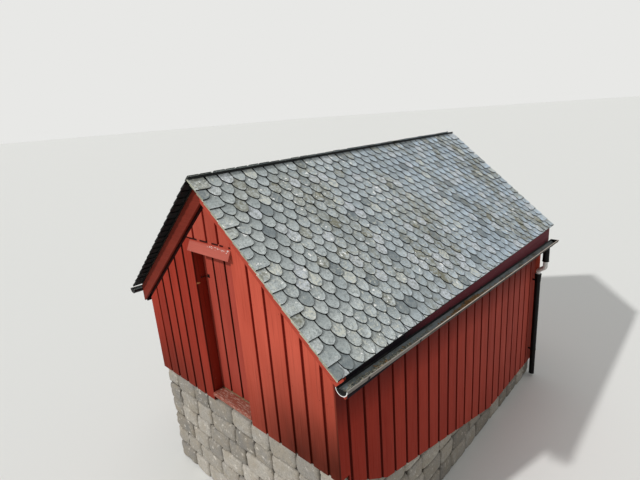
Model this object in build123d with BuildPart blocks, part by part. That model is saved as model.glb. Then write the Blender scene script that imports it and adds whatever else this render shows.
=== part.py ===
# Timber boathouse with a slate roof, standing on a dry-stone footing.
# Millimetres, +Z up. The door gable faces -Y and the ridge runs along Y.
# The origin is on the ground at the centre of the plan.
import math
import os

from build123d import *

# Walls
wall_width = 3400.0
wall_length = 5400.0
wall_thickness = 140.0

# Boards of the walls: upright, with a groove between each two. The gable's grooves
# are given as shares of half its width, from the middle.
cladding_relief = 22.0
groove_width = 37.0
gable_left_grooves = (-0.864, -0.735, -0.609, -0.485, -0.35)
gable_right_grooves = (0.37, 0.502, 0.648, 0.781, 0.919)
gable_top_grooves = (-0.175, -0.02, 0.11)
eave_board_width = 247.2
eave_first_groove = 37.0
back_board_count = 15
back_board_overlap = 60.0

# Roof
ridge_height = 4450.0
eave_height = 2850.0
eave_overhang = 200.0
slate_thickness = 32.0
slate_step = 11.0
slate_course_count = 18
top_course_share = 1.54
slate_drip = 40.0
slate_verge = 142.0
ridge_comb = 40.0
deck_thickness = 22.0
deck_verge = 40.0
rafter_depth = 98.0
rafter_width = 48.0
rafter_count = 7
rafter_inset = 60.0
ridge_board_thickness = 28.0
ridge_board_depth = 160.0
collar_drop = 650.0
collar_depth = 98.0

# Boards along the roof edges
bargeboard_width = 170.0
bargeboard_thickness = 30.0
fascia_depth = 235.0
fascia_thickness = 24.0

# Footing: its top steps down with the bank beside the house
footing_thickness = 300.0
footing_inset = 10.0
footing_back_height = 272.0
footing_course_count = 6
footing_stone_length = 400.0
footing_stone_shares = (1.1, 0.85, 1.3, 0.95, 0.8)
footing_joint_width = 16.0
footing_joint_depth = 30.0
bank_corner_drop = 84.0
bank_knee_height = 1054.0
bank_knee_distance = 765.0
bank_foot_distance = 3570.0

# Floor
floor_height = 1680.0
floor_thickness = 28.0

# Doorway
doorway_width = 760.0
doorway_offset = -15.0
doorway_height = 1920.0
threshold_rise = 3.0
threshold_thickness = 50.0
threshold_nosing = 5.0
sill_course_height = 69.0
sill_course_setback = 60.0
lining_thickness = 30.0
drip_board_length = 785.0
drip_board_shift = 23.5
drip_board_rise = 103.0
drip_board_drop = 111.0
drip_board_reach = 57.0
drip_board_thickness = 22.0
drip_board_clearance = 10.0

# Door leaf, hung inside the wall and opening inwards
leaf_overlap = 25.0
leaf_thickness = 42.0
leaf_clearance = 5.0
leaf_foot_gap = 7.0
leaf_groove_shares = (0.269, 0.554, 0.84)
leaf_groove_width = 30.0
ledge_width = 120.0
ledge_thickness = 28.0
ledge_inset = 20.0
ledge_end_distance = 220.0
brace_width = 100.0

# Hinges: an eye on each strap turns on a pin
hinge_post_gap = 10.0
hinge_post_width = 70.0
strap_length = 520.0
strap_height = 30.0
strap_thickness = 5.0
pin_radius = 5.0
pin_clearance = 0.1
eye_wall = 3.5
eye_standoff = 1.0
lug_height = 18.0
lug_gap = 0.5
pin_head = 4.0
pintle_plate_width = 50.0
pintle_plate_height = 80.0

# Hook and staple at the closing side
hook_height = 1535.0
hook_setback = 73.0
hook_rod_radius = 4.0
hook_standoff = 16.0
hook_tip_gap = 8.0
hook_tip_length = 24.0
hook_eye_radius = 9.0
staple_inset = 35.0
staple_plate = 44.0
staple_plate_thickness = 3.0
staple_reach = 20.0
staple_rod_radius = 3.5

# Gutters and downpipes
gutter_radius = 62.0
gutter_wall = 2.5
gutter_gap = 5.0
gutter_rim_drop = 65.0
gutter_fall = 200.0
gutter_bead_radius = 6.0
cap_thickness = 3.0
cap_flange = 3.0
bracket_count = 7
bracket_end_distance = 300.0
bracket_width = 25.0
bracket_strap = 3.0
bracket_clearance = 0.3
bracket_leg = 60.0
bracket_leg_over_rim = 10.0
outlet_distance = 432.0
outlet_radius = 50.0
outlet_length = 220.0
pipe_radius = 45.0
pipe_wall_gap = 40.0
pipe_corner_distance = 155.0
pipe_foot_height = 60.0
socket_radius = 52.0
socket_length = 90.0
bend_radius = 37.5
bend_fall = 293.0
bend_drop = 110.0
bend_tail = 60.0
bend_fillet = 45.0
low_clip_height = 540.0
high_clip_drop = 45.0
clip_height = 28.0
clip_thickness = 3.0
clip_clearance = 0.3
clip_stem = 12.0

# Values worked out from the driving sizes
half_width = wall_width / 2
half_length = wall_length / 2
inner_half_width = half_width - wall_thickness
inner_half_length = half_length - wall_thickness
front_y = -half_length
inner_front_y = -inner_half_length
eave_reach = half_width + eave_overhang
pitch_slope = (ridge_height - eave_height) / eave_reach
pitch = math.atan(pitch_slope)
slope_length = eave_reach / math.cos(pitch)
slate_gauge = slope_length / (slate_course_count - 1 + top_course_share)
deck_top_depth = slate_thickness
deck_under_depth = deck_top_depth + deck_thickness
rafter_under_depth = deck_under_depth + rafter_depth
bargeboard_under_depth = deck_under_depth + bargeboard_width
fascia_face = eave_reach - slate_drip
fascia_back = fascia_face - fascia_thickness
slate_end_y = half_length + slate_verge
deck_end_y = half_length + deck_verge
doorway_left = doorway_offset - doorway_width / 2
doorway_right = doorway_offset + doorway_width / 2
threshold_top = floor_height + threshold_rise
threshold_bottom = threshold_top - threshold_thickness
doorway_head = threshold_top + doorway_height
lining_left = doorway_left - lining_thickness
lining_right = doorway_right + lining_thickness
lining_top = doorway_head + lining_thickness
lining_front_y = front_y + cladding_relief
lining_depth = wall_thickness - cladding_relief
drip_board_top = doorway_head + drip_board_rise
footing_front_height = threshold_bottom - sill_course_height
leaf_outer_y = inner_front_y + leaf_clearance
leaf_inner_y = leaf_outer_y + leaf_thickness
ledge_inner_y = leaf_inner_y + ledge_thickness
leaf_left = doorway_left - leaf_overlap
leaf_right = doorway_right + leaf_overlap
leaf_bottom = threshold_top + leaf_foot_gap
leaf_top = doorway_head + leaf_overlap
post_left = leaf_right + hinge_post_gap
eye_radius = pin_radius + pin_clearance + eye_wall
hinge_x = leaf_right + hinge_post_gap / 2
hinge_y = ledge_inner_y + eye_standoff + eye_radius
ledge_heights = (leaf_bottom + ledge_end_distance, leaf_top - ledge_end_distance)
SIDES = {"left": -1, "right": 1}
ENDS = {"front": -1, "back": 1}


def roof_z(x, depth=0.0):
    """Height at x of the plane that lies depth below the slates' face."""
    return ridge_height - pitch_slope * abs(x) - depth / math.cos(pitch)


def under_roof(height, depth):
    """Distance from the ridge at which that plane comes down to height."""
    return (roof_z(0, depth) - height) / pitch_slope


def mirrored(points, side):
    """The same outline on the left (-1) or the right (1) of the ridge."""
    return [(side * x, z) for x, z in points]


def save(piece, name):
    """Label a finished piece and write its STEP file."""
    piece.part.label = name
    export_step(piece.part, f"parts/{name}.step")


os.makedirs("parts", exist_ok=True)

# Footing of stones in courses. The lowest course is as high as the footing at the back.
# The front and back pieces have the corner stones of every second course, the sides the others.
knee_y = front_y + bank_knee_distance
foot_y = front_y + bank_foot_distance
footing_end_y = half_length - footing_inset
footing_outer_x = half_width - footing_inset
footing_inner_x = footing_outer_x - footing_thickness
bank_line = [
    (inner_front_y, footing_front_height - bank_corner_drop),
    (knee_y, bank_knee_height),
    (foot_y, footing_back_height),
]
upper_course = (footing_front_height - footing_back_height) / (footing_course_count - 1)
course_tops = [footing_back_height + i * upper_course for i in range(footing_course_count)]
courses = list(zip([0.0, *course_tops], course_tops))


def bank_reach(height):
    """How far back the bank lies above a height, along the side of the house."""
    for (near_y, high), (far_y, low) in zip(bank_line, bank_line[1:]):
        if height >= low:
            return near_y + (far_y - near_y) * (high - height) / (high - low)
    return footing_end_y


def stone_joints(outer, course, has_corners):
    """Places of a course's upright joints along a face from -outer to outer."""
    reach = outer if has_corners else outer - footing_thickness
    places = [-reach]
    stone = course
    while True:
        share = footing_stone_shares[stone % len(footing_stone_shares)]
        place = places[-1] + share * footing_stone_length
        if place > reach - footing_stone_length / 2:
            break
        places.append(place)
        stone += 1
    return places[1:] if has_corners else [*places, reach]


def cut_joints():
    """Joints on the footing's outer faces: level ones and those between the stones."""
    inset = footing_joint_depth / 2
    with BuildSketch(*[Plane.XY.offset(top - footing_joint_width / 2) for top in course_tops[:-1]]) as rings:
        Rectangle(2 * footing_outer_x, 2 * footing_end_y)
        Rectangle(
            2 * (footing_outer_x - footing_joint_depth),
            2 * (footing_end_y - footing_joint_depth),
            mode=Mode.SUBTRACT,
        )
    extrude(rings.sketch, footing_joint_width, mode=Mode.SUBTRACT)
    for course, (foot, top) in enumerate(courses):
        end_course = course % 2 == 0
        middle = (foot + top) / 2
        across = stone_joints(footing_outer_x, course, end_course)
        along = stone_joints(footing_end_y, course, not end_course)
        end_places = [(x, end * (footing_end_y - inset), middle) for x in across for end in (-1, 1)]
        side_places = [
            (side * (footing_outer_x - inset), y, middle)
            for y in along
            for side in (-1, 1)
            if y < bank_reach(foot)
        ]
        if end_places:
            with Locations(*end_places):
                Box(footing_joint_width, footing_joint_depth, top - foot, mode=Mode.SUBTRACT)
        if side_places:
            with Locations(*side_places):
                Box(footing_joint_depth, footing_joint_width, top - foot, mode=Mode.SUBTRACT)


def corner_places(foot, top, ends):
    """Centres of a course's corner stones."""
    corner_x = footing_outer_x - footing_thickness / 2
    corner_y = footing_end_y - footing_thickness / 2
    return [(side * corner_x, end * corner_y, (foot + top) / 2) for side in (-1, 1) for end in ends]


for hand, side in SIDES.items():
    with BuildPart() as side_footing:
        with BuildSketch(Plane.YZ.offset(side * footing_outer_x)):
            with BuildLine():
                Polyline(
                    (-footing_end_y, 0),
                    (footing_end_y, 0),
                    (footing_end_y, footing_back_height),
                    *reversed(bank_line),
                    (inner_front_y, footing_front_height),
                    (-footing_end_y, footing_front_height),
                    close=True,
                )
            make_face()
        extrude(amount=-side * footing_thickness)
        for foot, top in courses[::2]:
            with Locations(*corner_places(foot, top, (-1, 1))):
                Box(footing_thickness, footing_thickness, top - foot, mode=Mode.SUBTRACT)
        cut_joints()
    save(side_footing, f"{hand}_footing")

for end_name, end, end_courses in (("front", -1, courses), ("back", 1, courses[:1])):
    with BuildPart() as end_footing:
        with Locations((0, end * (footing_end_y - footing_thickness / 2), end_courses[-1][1] / 2)):
            Box(2 * footing_inner_x, footing_thickness, end_courses[-1][1])
        for foot, top in end_courses[::2]:
            with Locations(*corner_places(foot, top, (end,))):
                Box(footing_thickness, footing_thickness, top - foot)
        if end < 0:
            # The course under the threshold
            with BuildSketch(Plane.XY.offset(footing_front_height)):
                course_depth = wall_thickness - sill_course_setback
                with Locations((doorway_offset, inner_front_y - course_depth / 2)):
                    Rectangle(doorway_width, course_depth)
            extrude(amount=sill_course_height)
        cut_joints()
    save(end_footing, f"{end_name}_footing")

# Side walls: bottom edges follow the bank, tops lie under the rafters
groove_run = 2 * inner_half_length - eave_first_groove - groove_width
eave_groove_count = int(groove_run / eave_board_width) + 1
eave_grooves = [
    inner_front_y + eave_first_groove + i * eave_board_width for i in range(eave_groove_count)
]

for hand, side in SIDES.items():
    with BuildPart() as side_wall:
        with BuildSketch(Plane.YZ.offset(side * half_width)):
            with BuildLine():
                Polyline(
                    *bank_line,
                    (inner_half_length, footing_back_height),
                    (inner_half_length, ridge_height),
                    (inner_front_y, ridge_height),
                    close=True,
                )
            make_face()
        extrude(amount=-side * wall_thickness)
        with BuildSketch(Plane.XZ.offset(-inner_front_y)):
            with BuildLine():
                Polyline(
                    *mirrored(
                        [
                            (0, roof_z(0, rafter_under_depth)),
                            (half_width, roof_z(half_width, rafter_under_depth)),
                            (half_width, ridge_height),
                            (0, ridge_height),
                        ],
                        side,
                    ),
                    close=True,
                )
            make_face()
        extrude(amount=-2 * inner_half_length, mode=Mode.SUBTRACT)
        with BuildSketch(Plane.XY):
            with Locations(*[(side * (half_width - cladding_relief / 2), y) for y in eave_grooves]):
                Rectangle(cladding_relief, groove_width)
        extrude(amount=eave_height, mode=Mode.SUBTRACT)
    save(side_wall, f"{hand}_wall")

# Gable walls: a panel is a wall's frame, or the boards on it with grooves between them
def panel(outline, start_y, depth):
    """A flat piece in the gable's plane, from start_y towards the back."""
    with BuildSketch(Plane.XZ.offset(-start_y)) as shape:
        with BuildLine():
            Polyline(*outline, close=True)
        make_face()
    extrude(shape.sketch, -depth)


def cut_grooves(places, start_y, foot):
    """Upright grooves from foot up, as deep as the boards, which start at start_y."""
    with BuildSketch(Plane.XY.offset(foot)) as grooves:
        with Locations(*[(x, start_y + cladding_relief / 2) for x in places]):
            Rectangle(groove_width, cladding_relief)
    extrude(grooves.sketch, ridge_height - foot, mode=Mode.SUBTRACT)


# Front wall: one piece each side of the doorway and one above it. The boards run on
# over the front edges of the doorway's lining.
for hand, side, lining_x, door_x, shares in (
    ("left", -1, lining_left, doorway_left, gable_left_grooves),
    ("right", 1, lining_right, doorway_right, gable_right_grooves),
):
    wall_top = [
        (lining_x, roof_z(lining_x, deck_under_depth)),
        (side * half_width, roof_z(half_width, deck_under_depth)),
        (side * half_width, footing_front_height),
    ]
    with BuildPart() as front_wall:
        panel([(lining_x, footing_front_height), *wall_top], lining_front_y, lining_depth)
        panel(
            [
                (door_x, footing_front_height),
                (door_x, lining_top),
                (lining_x, lining_top),
                *wall_top,
            ],
            front_y,
            cladding_relief,
        )
        cut_grooves([share * half_width for share in shares], front_y, 0)
    save(front_wall, f"front_wall_{hand}")

gable_top = [
    (lining_right, lining_top),
    (lining_right, roof_z(lining_right, deck_under_depth)),
    (0, roof_z(0, deck_under_depth)),
    (lining_left, roof_z(lining_left, deck_under_depth)),
    (lining_left, lining_top),
]
with BuildPart() as front_wall_top:
    panel(gable_top, lining_front_y, lining_depth)
    panel(
        [
            (doorway_left, lining_top),
            (doorway_left, doorway_head),
            (doorway_right, doorway_head),
            (doorway_right, lining_top),
            *gable_top,
        ],
        front_y,
        cladding_relief,
    )
    cut_grooves([share * half_width for share in gable_top_grooves], front_y, drip_board_top)
save(front_wall_top, "front_wall_top")

# Back wall: its boards run out past the side walls' boards
def back_outline(reach):
    """The back gable's outline, reach to each side of the ridge."""
    return [
        (-reach, footing_back_height),
        (reach, footing_back_height),
        (reach, roof_z(reach, deck_under_depth)),
        (0, roof_z(0, deck_under_depth)),
        (-reach, roof_z(reach, deck_under_depth)),
    ]


back_reach = half_width + back_board_overlap
back_board_width = 2 * back_reach / back_board_count
with BuildPart() as back_wall:
    panel(back_outline(half_width), inner_half_length, lining_depth)
    panel(back_outline(back_reach), half_length - cladding_relief, cladding_relief)
    back_grooves = [i * back_board_width - back_reach for i in range(1, back_board_count)]
    cut_grooves(back_grooves, half_length - cladding_relief, 0)
save(back_wall, "back_wall")

with BuildPart() as floor:
    with BuildSketch(Plane.XY.offset(floor_height)):
        Rectangle(2 * inner_half_width, 2 * inner_half_length)
    extrude(amount=-floor_thickness)
save(floor, "floor")

# Roof timbers
rafter_end = inner_half_length - rafter_inset - rafter_width / 2
rafter_pitch = 2 * rafter_end / (rafter_count - 1)
rafter_rows = [-rafter_end + i * rafter_pitch for i in range(rafter_count)]
half_ridge_board = ridge_board_thickness / 2

with BuildPart() as ridge_board:
    with BuildSketch(Plane.XZ.offset(-inner_front_y)):
        with BuildLine():
            ridge_board_top = roof_z(half_ridge_board, deck_under_depth)
            Polyline(
                (-half_ridge_board, ridge_board_top - ridge_board_depth),
                (half_ridge_board, ridge_board_top - ridge_board_depth),
                (half_ridge_board, ridge_board_top),
                (0, roof_z(0, deck_under_depth)),
                (-half_ridge_board, ridge_board_top),
                close=True,
            )
        make_face()
    extrude(amount=-2 * inner_half_length)
save(ridge_board, "ridge_board")

with BuildPart() as rafters:
    for row in rafter_rows:
        for side in SIDES.values():
            with BuildSketch(Plane.XZ.offset(-(row - rafter_width / 2))):
                with BuildLine():
                    Polyline(
                        *mirrored(
                            [
                                (half_ridge_board, roof_z(half_ridge_board, deck_under_depth)),
                                (fascia_back, roof_z(fascia_back, deck_under_depth)),
                                (fascia_back, roof_z(fascia_back, rafter_under_depth)),
                                (half_ridge_board, roof_z(half_ridge_board, rafter_under_depth)),
                            ],
                            side,
                        ),
                        close=True,
                    )
                make_face()
            extrude(amount=-rafter_width)
save(rafters, "rafters")

# Collars tie every second pair of rafters
collar_height = ridge_height - collar_drop
collar_top = collar_height + collar_depth
with BuildPart() as collars:
    for row in rafter_rows[1::2]:
        with BuildSketch(Plane.XZ.offset(-(row - rafter_width / 2))):
            with BuildLine():
                bottom_reach = under_roof(collar_height, rafter_under_depth)
                top_reach = under_roof(collar_top, rafter_under_depth)
                Polyline(
                    (-bottom_reach, collar_height),
                    (bottom_reach, collar_height),
                    (top_reach, collar_top),
                    (-top_reach, collar_top),
                    close=True,
                )
            make_face()
        extrude(amount=-rafter_width)
save(collars, "collars")

# Roof boarding and slates. The left slates run on past the ridge as a comb
# that covers the top edge of the right slates.
comb_x = ridge_comb * math.cos(pitch)
comb_end_x = comb_x + slate_thickness * math.sin(pitch)
lap_x = (slate_thickness - slate_step) / (2 * math.sin(pitch))
lap_z = roof_z(lap_x, slate_step)


def left_face_z(x, depth=0.0):
    """Height of the left slope's plane, also where it runs past the ridge."""
    return ridge_height + pitch_slope * x - depth / math.cos(pitch)


deck_outline = [
    (0, roof_z(0, deck_top_depth)),
    (fascia_face, roof_z(fascia_face, deck_top_depth)),
    (fascia_face, roof_z(fascia_face, deck_under_depth)),
    (0, roof_z(0, deck_under_depth)),
]


def slope_point(down, depth=0.0):
    """Point of the right slope, down from the ridge and depth below the slates' face."""
    return (
        down * math.cos(pitch) - depth * math.sin(pitch),
        ridge_height - down * math.sin(pitch) - depth * math.cos(pitch),
    )


def slate_steps(course_count):
    """The courses' faces, from the eave up: each one's lower edge lies on the one below."""
    points = [slope_point(slope_length)]
    for course in range(1, course_count):
        foot = slope_length - course * slate_gauge
        points += [slope_point(foot, slate_step), slope_point(foot)]
    return points


# The left slope has one more course, which is the comb
slate_bed = [(0, roof_z(0, slate_thickness)), slope_point(slope_length, slate_thickness)]
left_slate_outline = [
    *mirrored(slate_steps(slate_course_count + 1), -1),
    (comb_x, left_face_z(comb_x)),
    (comb_end_x, left_face_z(comb_end_x, slate_thickness)),
    *mirrored(slate_bed, -1),
]
right_slate_outline = [*slate_steps(slate_course_count), (lap_x, lap_z), *slate_bed]

for hand, side in SIDES.items():
    with BuildPart() as roof_deck:
        with BuildSketch(Plane.XZ.offset(deck_end_y)):
            with BuildLine():
                Polyline(*mirrored(deck_outline, side), close=True)
            make_face()
        extrude(amount=-2 * deck_end_y)
    save(roof_deck, f"{hand}_roof_deck")

for hand, outline in (("left", left_slate_outline), ("right", right_slate_outline)):
    with BuildPart() as slates:
        with BuildSketch(Plane.XZ.offset(slate_end_y)):
            with BuildLine():
                Polyline(*outline, close=True)
            make_face()
        extrude(amount=-2 * slate_end_y)
    save(slates, f"{hand}_slates")

# Bargeboards lie on the gable boards, right under the roof boarding
for end, facing in ENDS.items():
    for hand, side in SIDES.items():
        board_y = facing * half_length if facing > 0 else front_y - bargeboard_thickness
        with BuildPart() as bargeboard:
            with BuildSketch(Plane.XZ.offset(-board_y)):
                with BuildLine():
                    Polyline(
                        *mirrored(
                            [
                                (0, roof_z(0, deck_under_depth)),
                                (fascia_face, roof_z(fascia_face, deck_under_depth)),
                                (fascia_face, roof_z(fascia_face, bargeboard_under_depth)),
                                (0, roof_z(0, bargeboard_under_depth)),
                            ],
                            side,
                        ),
                        close=True,
                    )
                make_face()
            extrude(amount=-bargeboard_thickness)
        save(bargeboard, f"{end}_{hand}_bargeboard")

# Fascias are nailed to the rafters' feet and run between the bargeboards
fascia_bottom = roof_z(fascia_face, deck_under_depth) - fascia_depth
for hand, side in SIDES.items():
    with BuildPart() as fascia:
        with BuildSketch(Plane.XZ.offset(half_length)):
            with BuildLine():
                Polyline(
                    *mirrored(
                        [
                            (fascia_back, roof_z(fascia_back, deck_under_depth)),
                            (fascia_face, roof_z(fascia_face, deck_under_depth)),
                            (fascia_face, fascia_bottom),
                            (fascia_back, fascia_bottom),
                        ],
                        side,
                    ),
                    close=True,
                )
            make_face()
        extrude(amount=-wall_length)
    save(fascia, f"{hand}_fascia")

# Doorway: lining, threshold and the drip board over the opening
for hand, edge_x in (("left", lining_left), ("right", doorway_right)):
    with BuildPart() as jamb:
        with BuildSketch(Plane.XY.offset(footing_front_height)):
            with Locations((edge_x + lining_thickness / 2, lining_front_y + lining_depth / 2)):
                Rectangle(lining_thickness, lining_depth)
        extrude(amount=doorway_head - footing_front_height)
    save(jamb, f"{hand}_jamb")

with BuildPart() as door_head:
    with BuildSketch(Plane.XY.offset(doorway_head)):
        with Locations((doorway_offset, lining_front_y + lining_depth / 2)):
            Rectangle(doorway_width + 2 * lining_thickness, lining_depth)
    extrude(amount=lining_thickness)
save(door_head, "door_head")

with BuildPart() as threshold:
    with BuildSketch(Plane.XY.offset(threshold_bottom)):
        threshold_depth = wall_thickness + threshold_nosing
        with Locations((doorway_offset, inner_front_y - threshold_depth / 2)):
            Rectangle(doorway_width, threshold_depth)
    extrude(amount=threshold_thickness)
save(threshold, "threshold")

drip_board_left = doorway_offset + drip_board_shift - drip_board_length / 2
drip_length = math.hypot(drip_board_drop, drip_board_reach)
drip_back_y = drip_board_thickness * drip_board_drop / drip_length
drip_back_z = drip_board_thickness * drip_board_reach / drip_length
drip_seat = drip_back_y * drip_board_drop / drip_board_reach + drip_back_z
drip_limit_depth = bargeboard_under_depth + drip_board_clearance
with BuildPart() as drip_board:
    with BuildSketch(Plane.YZ.offset(drip_board_left)):
        with BuildLine():
            Polyline(
                (front_y, drip_board_top),
                (front_y - drip_board_reach, drip_board_top - drip_board_drop),
                (front_y - drip_board_reach + drip_back_y, drip_board_top - drip_board_drop - drip_back_z),
                (front_y, drip_board_top - drip_seat),
                close=True,
            )
        make_face()
    extrude(amount=drip_board_length)
    # It stays below the bargeboards: where they come down to it, its ends follow their slope
    with BuildSketch(Plane.XZ.offset(-front_y)):
        with BuildLine():
            Polyline(
                (-half_width, roof_z(half_width, drip_limit_depth)),
                (0, roof_z(0, drip_limit_depth)),
                (half_width, roof_z(half_width, drip_limit_depth)),
                close=True,
            )
        make_face()
    extrude(amount=drip_board_reach, mode=Mode.INTERSECT)
save(drip_board, "drip_board")

# Door leaf: boards outside, two ledges and a brace inside
with BuildPart() as door_leaf:
    with BuildSketch(Plane.XZ.offset(-leaf_outer_y)):
        with Locations(((leaf_left + leaf_right) / 2, (leaf_bottom + leaf_top) / 2)):
            Rectangle(leaf_right - leaf_left, leaf_top - leaf_bottom)
    extrude(amount=-leaf_thickness)
    with BuildSketch(Plane.XY.offset(leaf_bottom)):
        for share in leaf_groove_shares:
            groove_x = leaf_left + share * (leaf_right - leaf_left)
            with Locations((groove_x, leaf_outer_y + cladding_relief / 2)):
                Rectangle(leaf_groove_width, cladding_relief)
    extrude(amount=leaf_top - leaf_bottom, mode=Mode.SUBTRACT)
save(door_leaf, "door_leaf")

ledge_left = leaf_left + ledge_inset
ledge_right = leaf_right - ledge_inset
with BuildPart() as door_ledges:
    with BuildSketch(Plane.XZ.offset(-leaf_inner_y)):
        for height in ledge_heights:
            with Locations(((ledge_left + ledge_right) / 2, height)):
                Rectangle(ledge_right - ledge_left, ledge_width)
    extrude(amount=-ledge_thickness)
save(door_ledges, "door_ledges")

brace_bottom = ledge_heights[0] + ledge_width / 2
brace_top = ledge_heights[1] - ledge_width / 2
with BuildPart() as door_brace:
    with BuildSketch(Plane.XZ.offset(-leaf_inner_y)):
        with BuildLine():
            Polyline(
                (ledge_right, brace_bottom),
                (ledge_right - brace_width, brace_bottom),
                (ledge_left, brace_top),
                (ledge_left + brace_width, brace_top),
                close=True,
            )
        make_face()
    extrude(amount=-ledge_thickness)
save(door_brace, "door_brace")

# Hinge post inside the wall, from the floor to the rafter, and the pintles that it carries
post_right = post_left + hinge_post_width
with BuildPart() as hinge_post:
    panel(
        [
            (post_left, floor_height),
            (post_right, floor_height),
            (post_right, roof_z(post_right, rafter_under_depth)),
            (post_left, roof_z(post_left, rafter_under_depth)),
        ],
        inner_front_y,
        ledge_inner_y - inner_front_y,
    )
save(hinge_post, "hinge_post")

eye_top_offset = strap_height / 2
plate_left = post_left + (eye_radius - hinge_post_gap / 2)
with BuildPart() as hinge_straps:
    for height in ledge_heights:
        # The strap lies on the ledge and reaches to the eye
        with BuildSketch(Plane.XZ.offset(-ledge_inner_y)):
            with Locations((hinge_x - strap_length / 2, height)):
                Rectangle(strap_length, strap_height)
        extrude(amount=-strap_thickness)
        with BuildSketch(Plane.XY.offset(height - eye_top_offset)):
            with Locations((hinge_x, hinge_y)):
                Circle(eye_radius)
        extrude(amount=strap_height)
        with BuildSketch(Plane.XY.offset(height - eye_top_offset)):
            with Locations((hinge_x, hinge_y)):
                Circle(pin_radius + pin_clearance)
        extrude(amount=strap_height, mode=Mode.SUBTRACT)
save(hinge_straps, "hinge_straps")

lug_arm_x = (hinge_x + plate_left + eye_radius) / 2
with BuildPart() as hinge_pintles:
    for height in ledge_heights:
        lug_top = height - eye_top_offset - lug_gap
        # The plate is screwed to the post, beside the eye
        with BuildSketch(Plane.XZ.offset(-ledge_inner_y)):
            with Locations((plate_left + pintle_plate_width / 2, lug_top - lug_height / 2)):
                Rectangle(pintle_plate_width, pintle_plate_height)
        extrude(amount=-strap_thickness)
        with BuildSketch(Plane.XY.offset(lug_top - lug_height)):
            with Locations((hinge_x, hinge_y)):
                Circle(eye_radius)
            with Locations((lug_arm_x, ledge_inner_y + strap_thickness / 2)):
                Rectangle(plate_left + eye_radius - hinge_x, strap_thickness)
        extrude(amount=lug_height)
        with BuildSketch(Plane.XY.offset(lug_top)):
            with Locations((hinge_x, hinge_y)):
                Circle(pin_radius)
        extrude(amount=strap_height + lug_gap + pin_head)
save(hinge_pintles, "hinge_pintles")

# Hook on the closing jamb, and the staple on the leaf that it holds
hook_z = threshold_top + hook_height
hook_start_y = front_y + hook_setback
hook_end_y = leaf_outer_y - hook_tip_gap
hook_x = doorway_left + hook_standoff
with BuildPart() as door_hook:
    with BuildSketch(Plane.YZ.offset(doorway_left)):
        with Locations((hook_start_y, hook_z)):
            Circle(hook_rod_radius)
    extrude(amount=hook_standoff)
    with BuildSketch(Plane.XZ.offset(-hook_start_y)):
        with Locations((hook_x, hook_z)):
            Circle(hook_rod_radius)
    extrude(amount=hook_start_y - hook_end_y)
    with BuildSketch(Plane.XY.offset(hook_z - hook_tip_length)):
        with Locations((hook_x, hook_end_y - hook_rod_radius)):
            Circle(hook_rod_radius)
    extrude(amount=hook_tip_length)
    with BuildSketch(Plane.YZ.offset(hook_x - hook_rod_radius)):
        with Locations((hook_start_y, hook_z)):
            Circle(hook_eye_radius)
    extrude(amount=2 * hook_rod_radius)
save(door_hook, "door_hook")

staple_x = doorway_left + staple_inset + staple_plate / 2
with BuildPart() as door_staple:
    with BuildSketch(Plane.XZ.offset(-leaf_outer_y)):
        with Locations((staple_x, hook_z)):
            Rectangle(staple_plate, staple_plate)
    extrude(amount=staple_plate_thickness)
    with BuildSketch(Plane.XZ.offset(-leaf_outer_y)):
        with Locations((staple_x - staple_plate / 4, hook_z), (staple_x + staple_plate / 4, hook_z)):
            Circle(staple_rod_radius)
    extrude(amount=staple_reach)
    with BuildSketch(Plane.YZ.offset(staple_x - staple_plate / 4)):
        with Locations((leaf_outer_y - staple_reach, hook_z)):
            Circle(staple_rod_radius)
    extrude(amount=staple_plate / 2)
save(door_staple, "door_staple")

# Gutters hang on brackets and fall towards the back of the house
gutter_centre_x = fascia_face + gutter_gap + gutter_radius
gutter_high_rim = eave_height - gutter_rim_drop
gutter_run = 2 * slate_end_y
gutter_tilt = math.atan(gutter_fall / gutter_run)
gutter_length = gutter_run / math.cos(gutter_tilt)
fall_direction = (0, math.cos(gutter_tilt), -math.sin(gutter_tilt))


def gutter_point(distance):
    """Height and depth of the rim's centre line at a distance along it."""
    along_y = -slate_end_y + distance * math.cos(gutter_tilt)
    along_z = gutter_high_rim - distance * math.sin(gutter_tilt)
    return along_y, along_z


def gutter_plane(side, distance):
    """Plane across a gutter. Its first axis is +X, its second points down."""
    along_y, along_z = gutter_point(distance)
    return Plane(
        origin=(side * gutter_centre_x, along_y, along_z),
        x_dir=(1, 0, 0),
        z_dir=fall_direction,
    )


def half_disc(radius):
    """The lower half of a disc, in the sketch of a gutter plane."""
    Circle(radius)
    with Locations((0, -radius)):
        Rectangle(2 * radius, 2 * radius, mode=Mode.SUBTRACT)


trough_length = gutter_length - 2 * cap_thickness
for hand, side in SIDES.items():
    with BuildPart() as gutter:
        with BuildSketch(gutter_plane(side, cap_thickness)):
            half_disc(gutter_radius)
            Circle(gutter_radius - gutter_wall, mode=Mode.SUBTRACT)
            with Locations((side * (gutter_radius - gutter_bead_radius), 0)):
                Circle(gutter_bead_radius)
        extrude(amount=trough_length)
    save(gutter, f"{hand}_gutter")

with BuildPart() as gutter_caps:
    for side in SIDES.values():
        for distance in (0, gutter_length - cap_thickness):
            with BuildSketch(gutter_plane(side, distance)):
                half_disc(gutter_radius + cap_flange)
            extrude(amount=cap_thickness)
save(gutter_caps, "gutter_caps")

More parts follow.
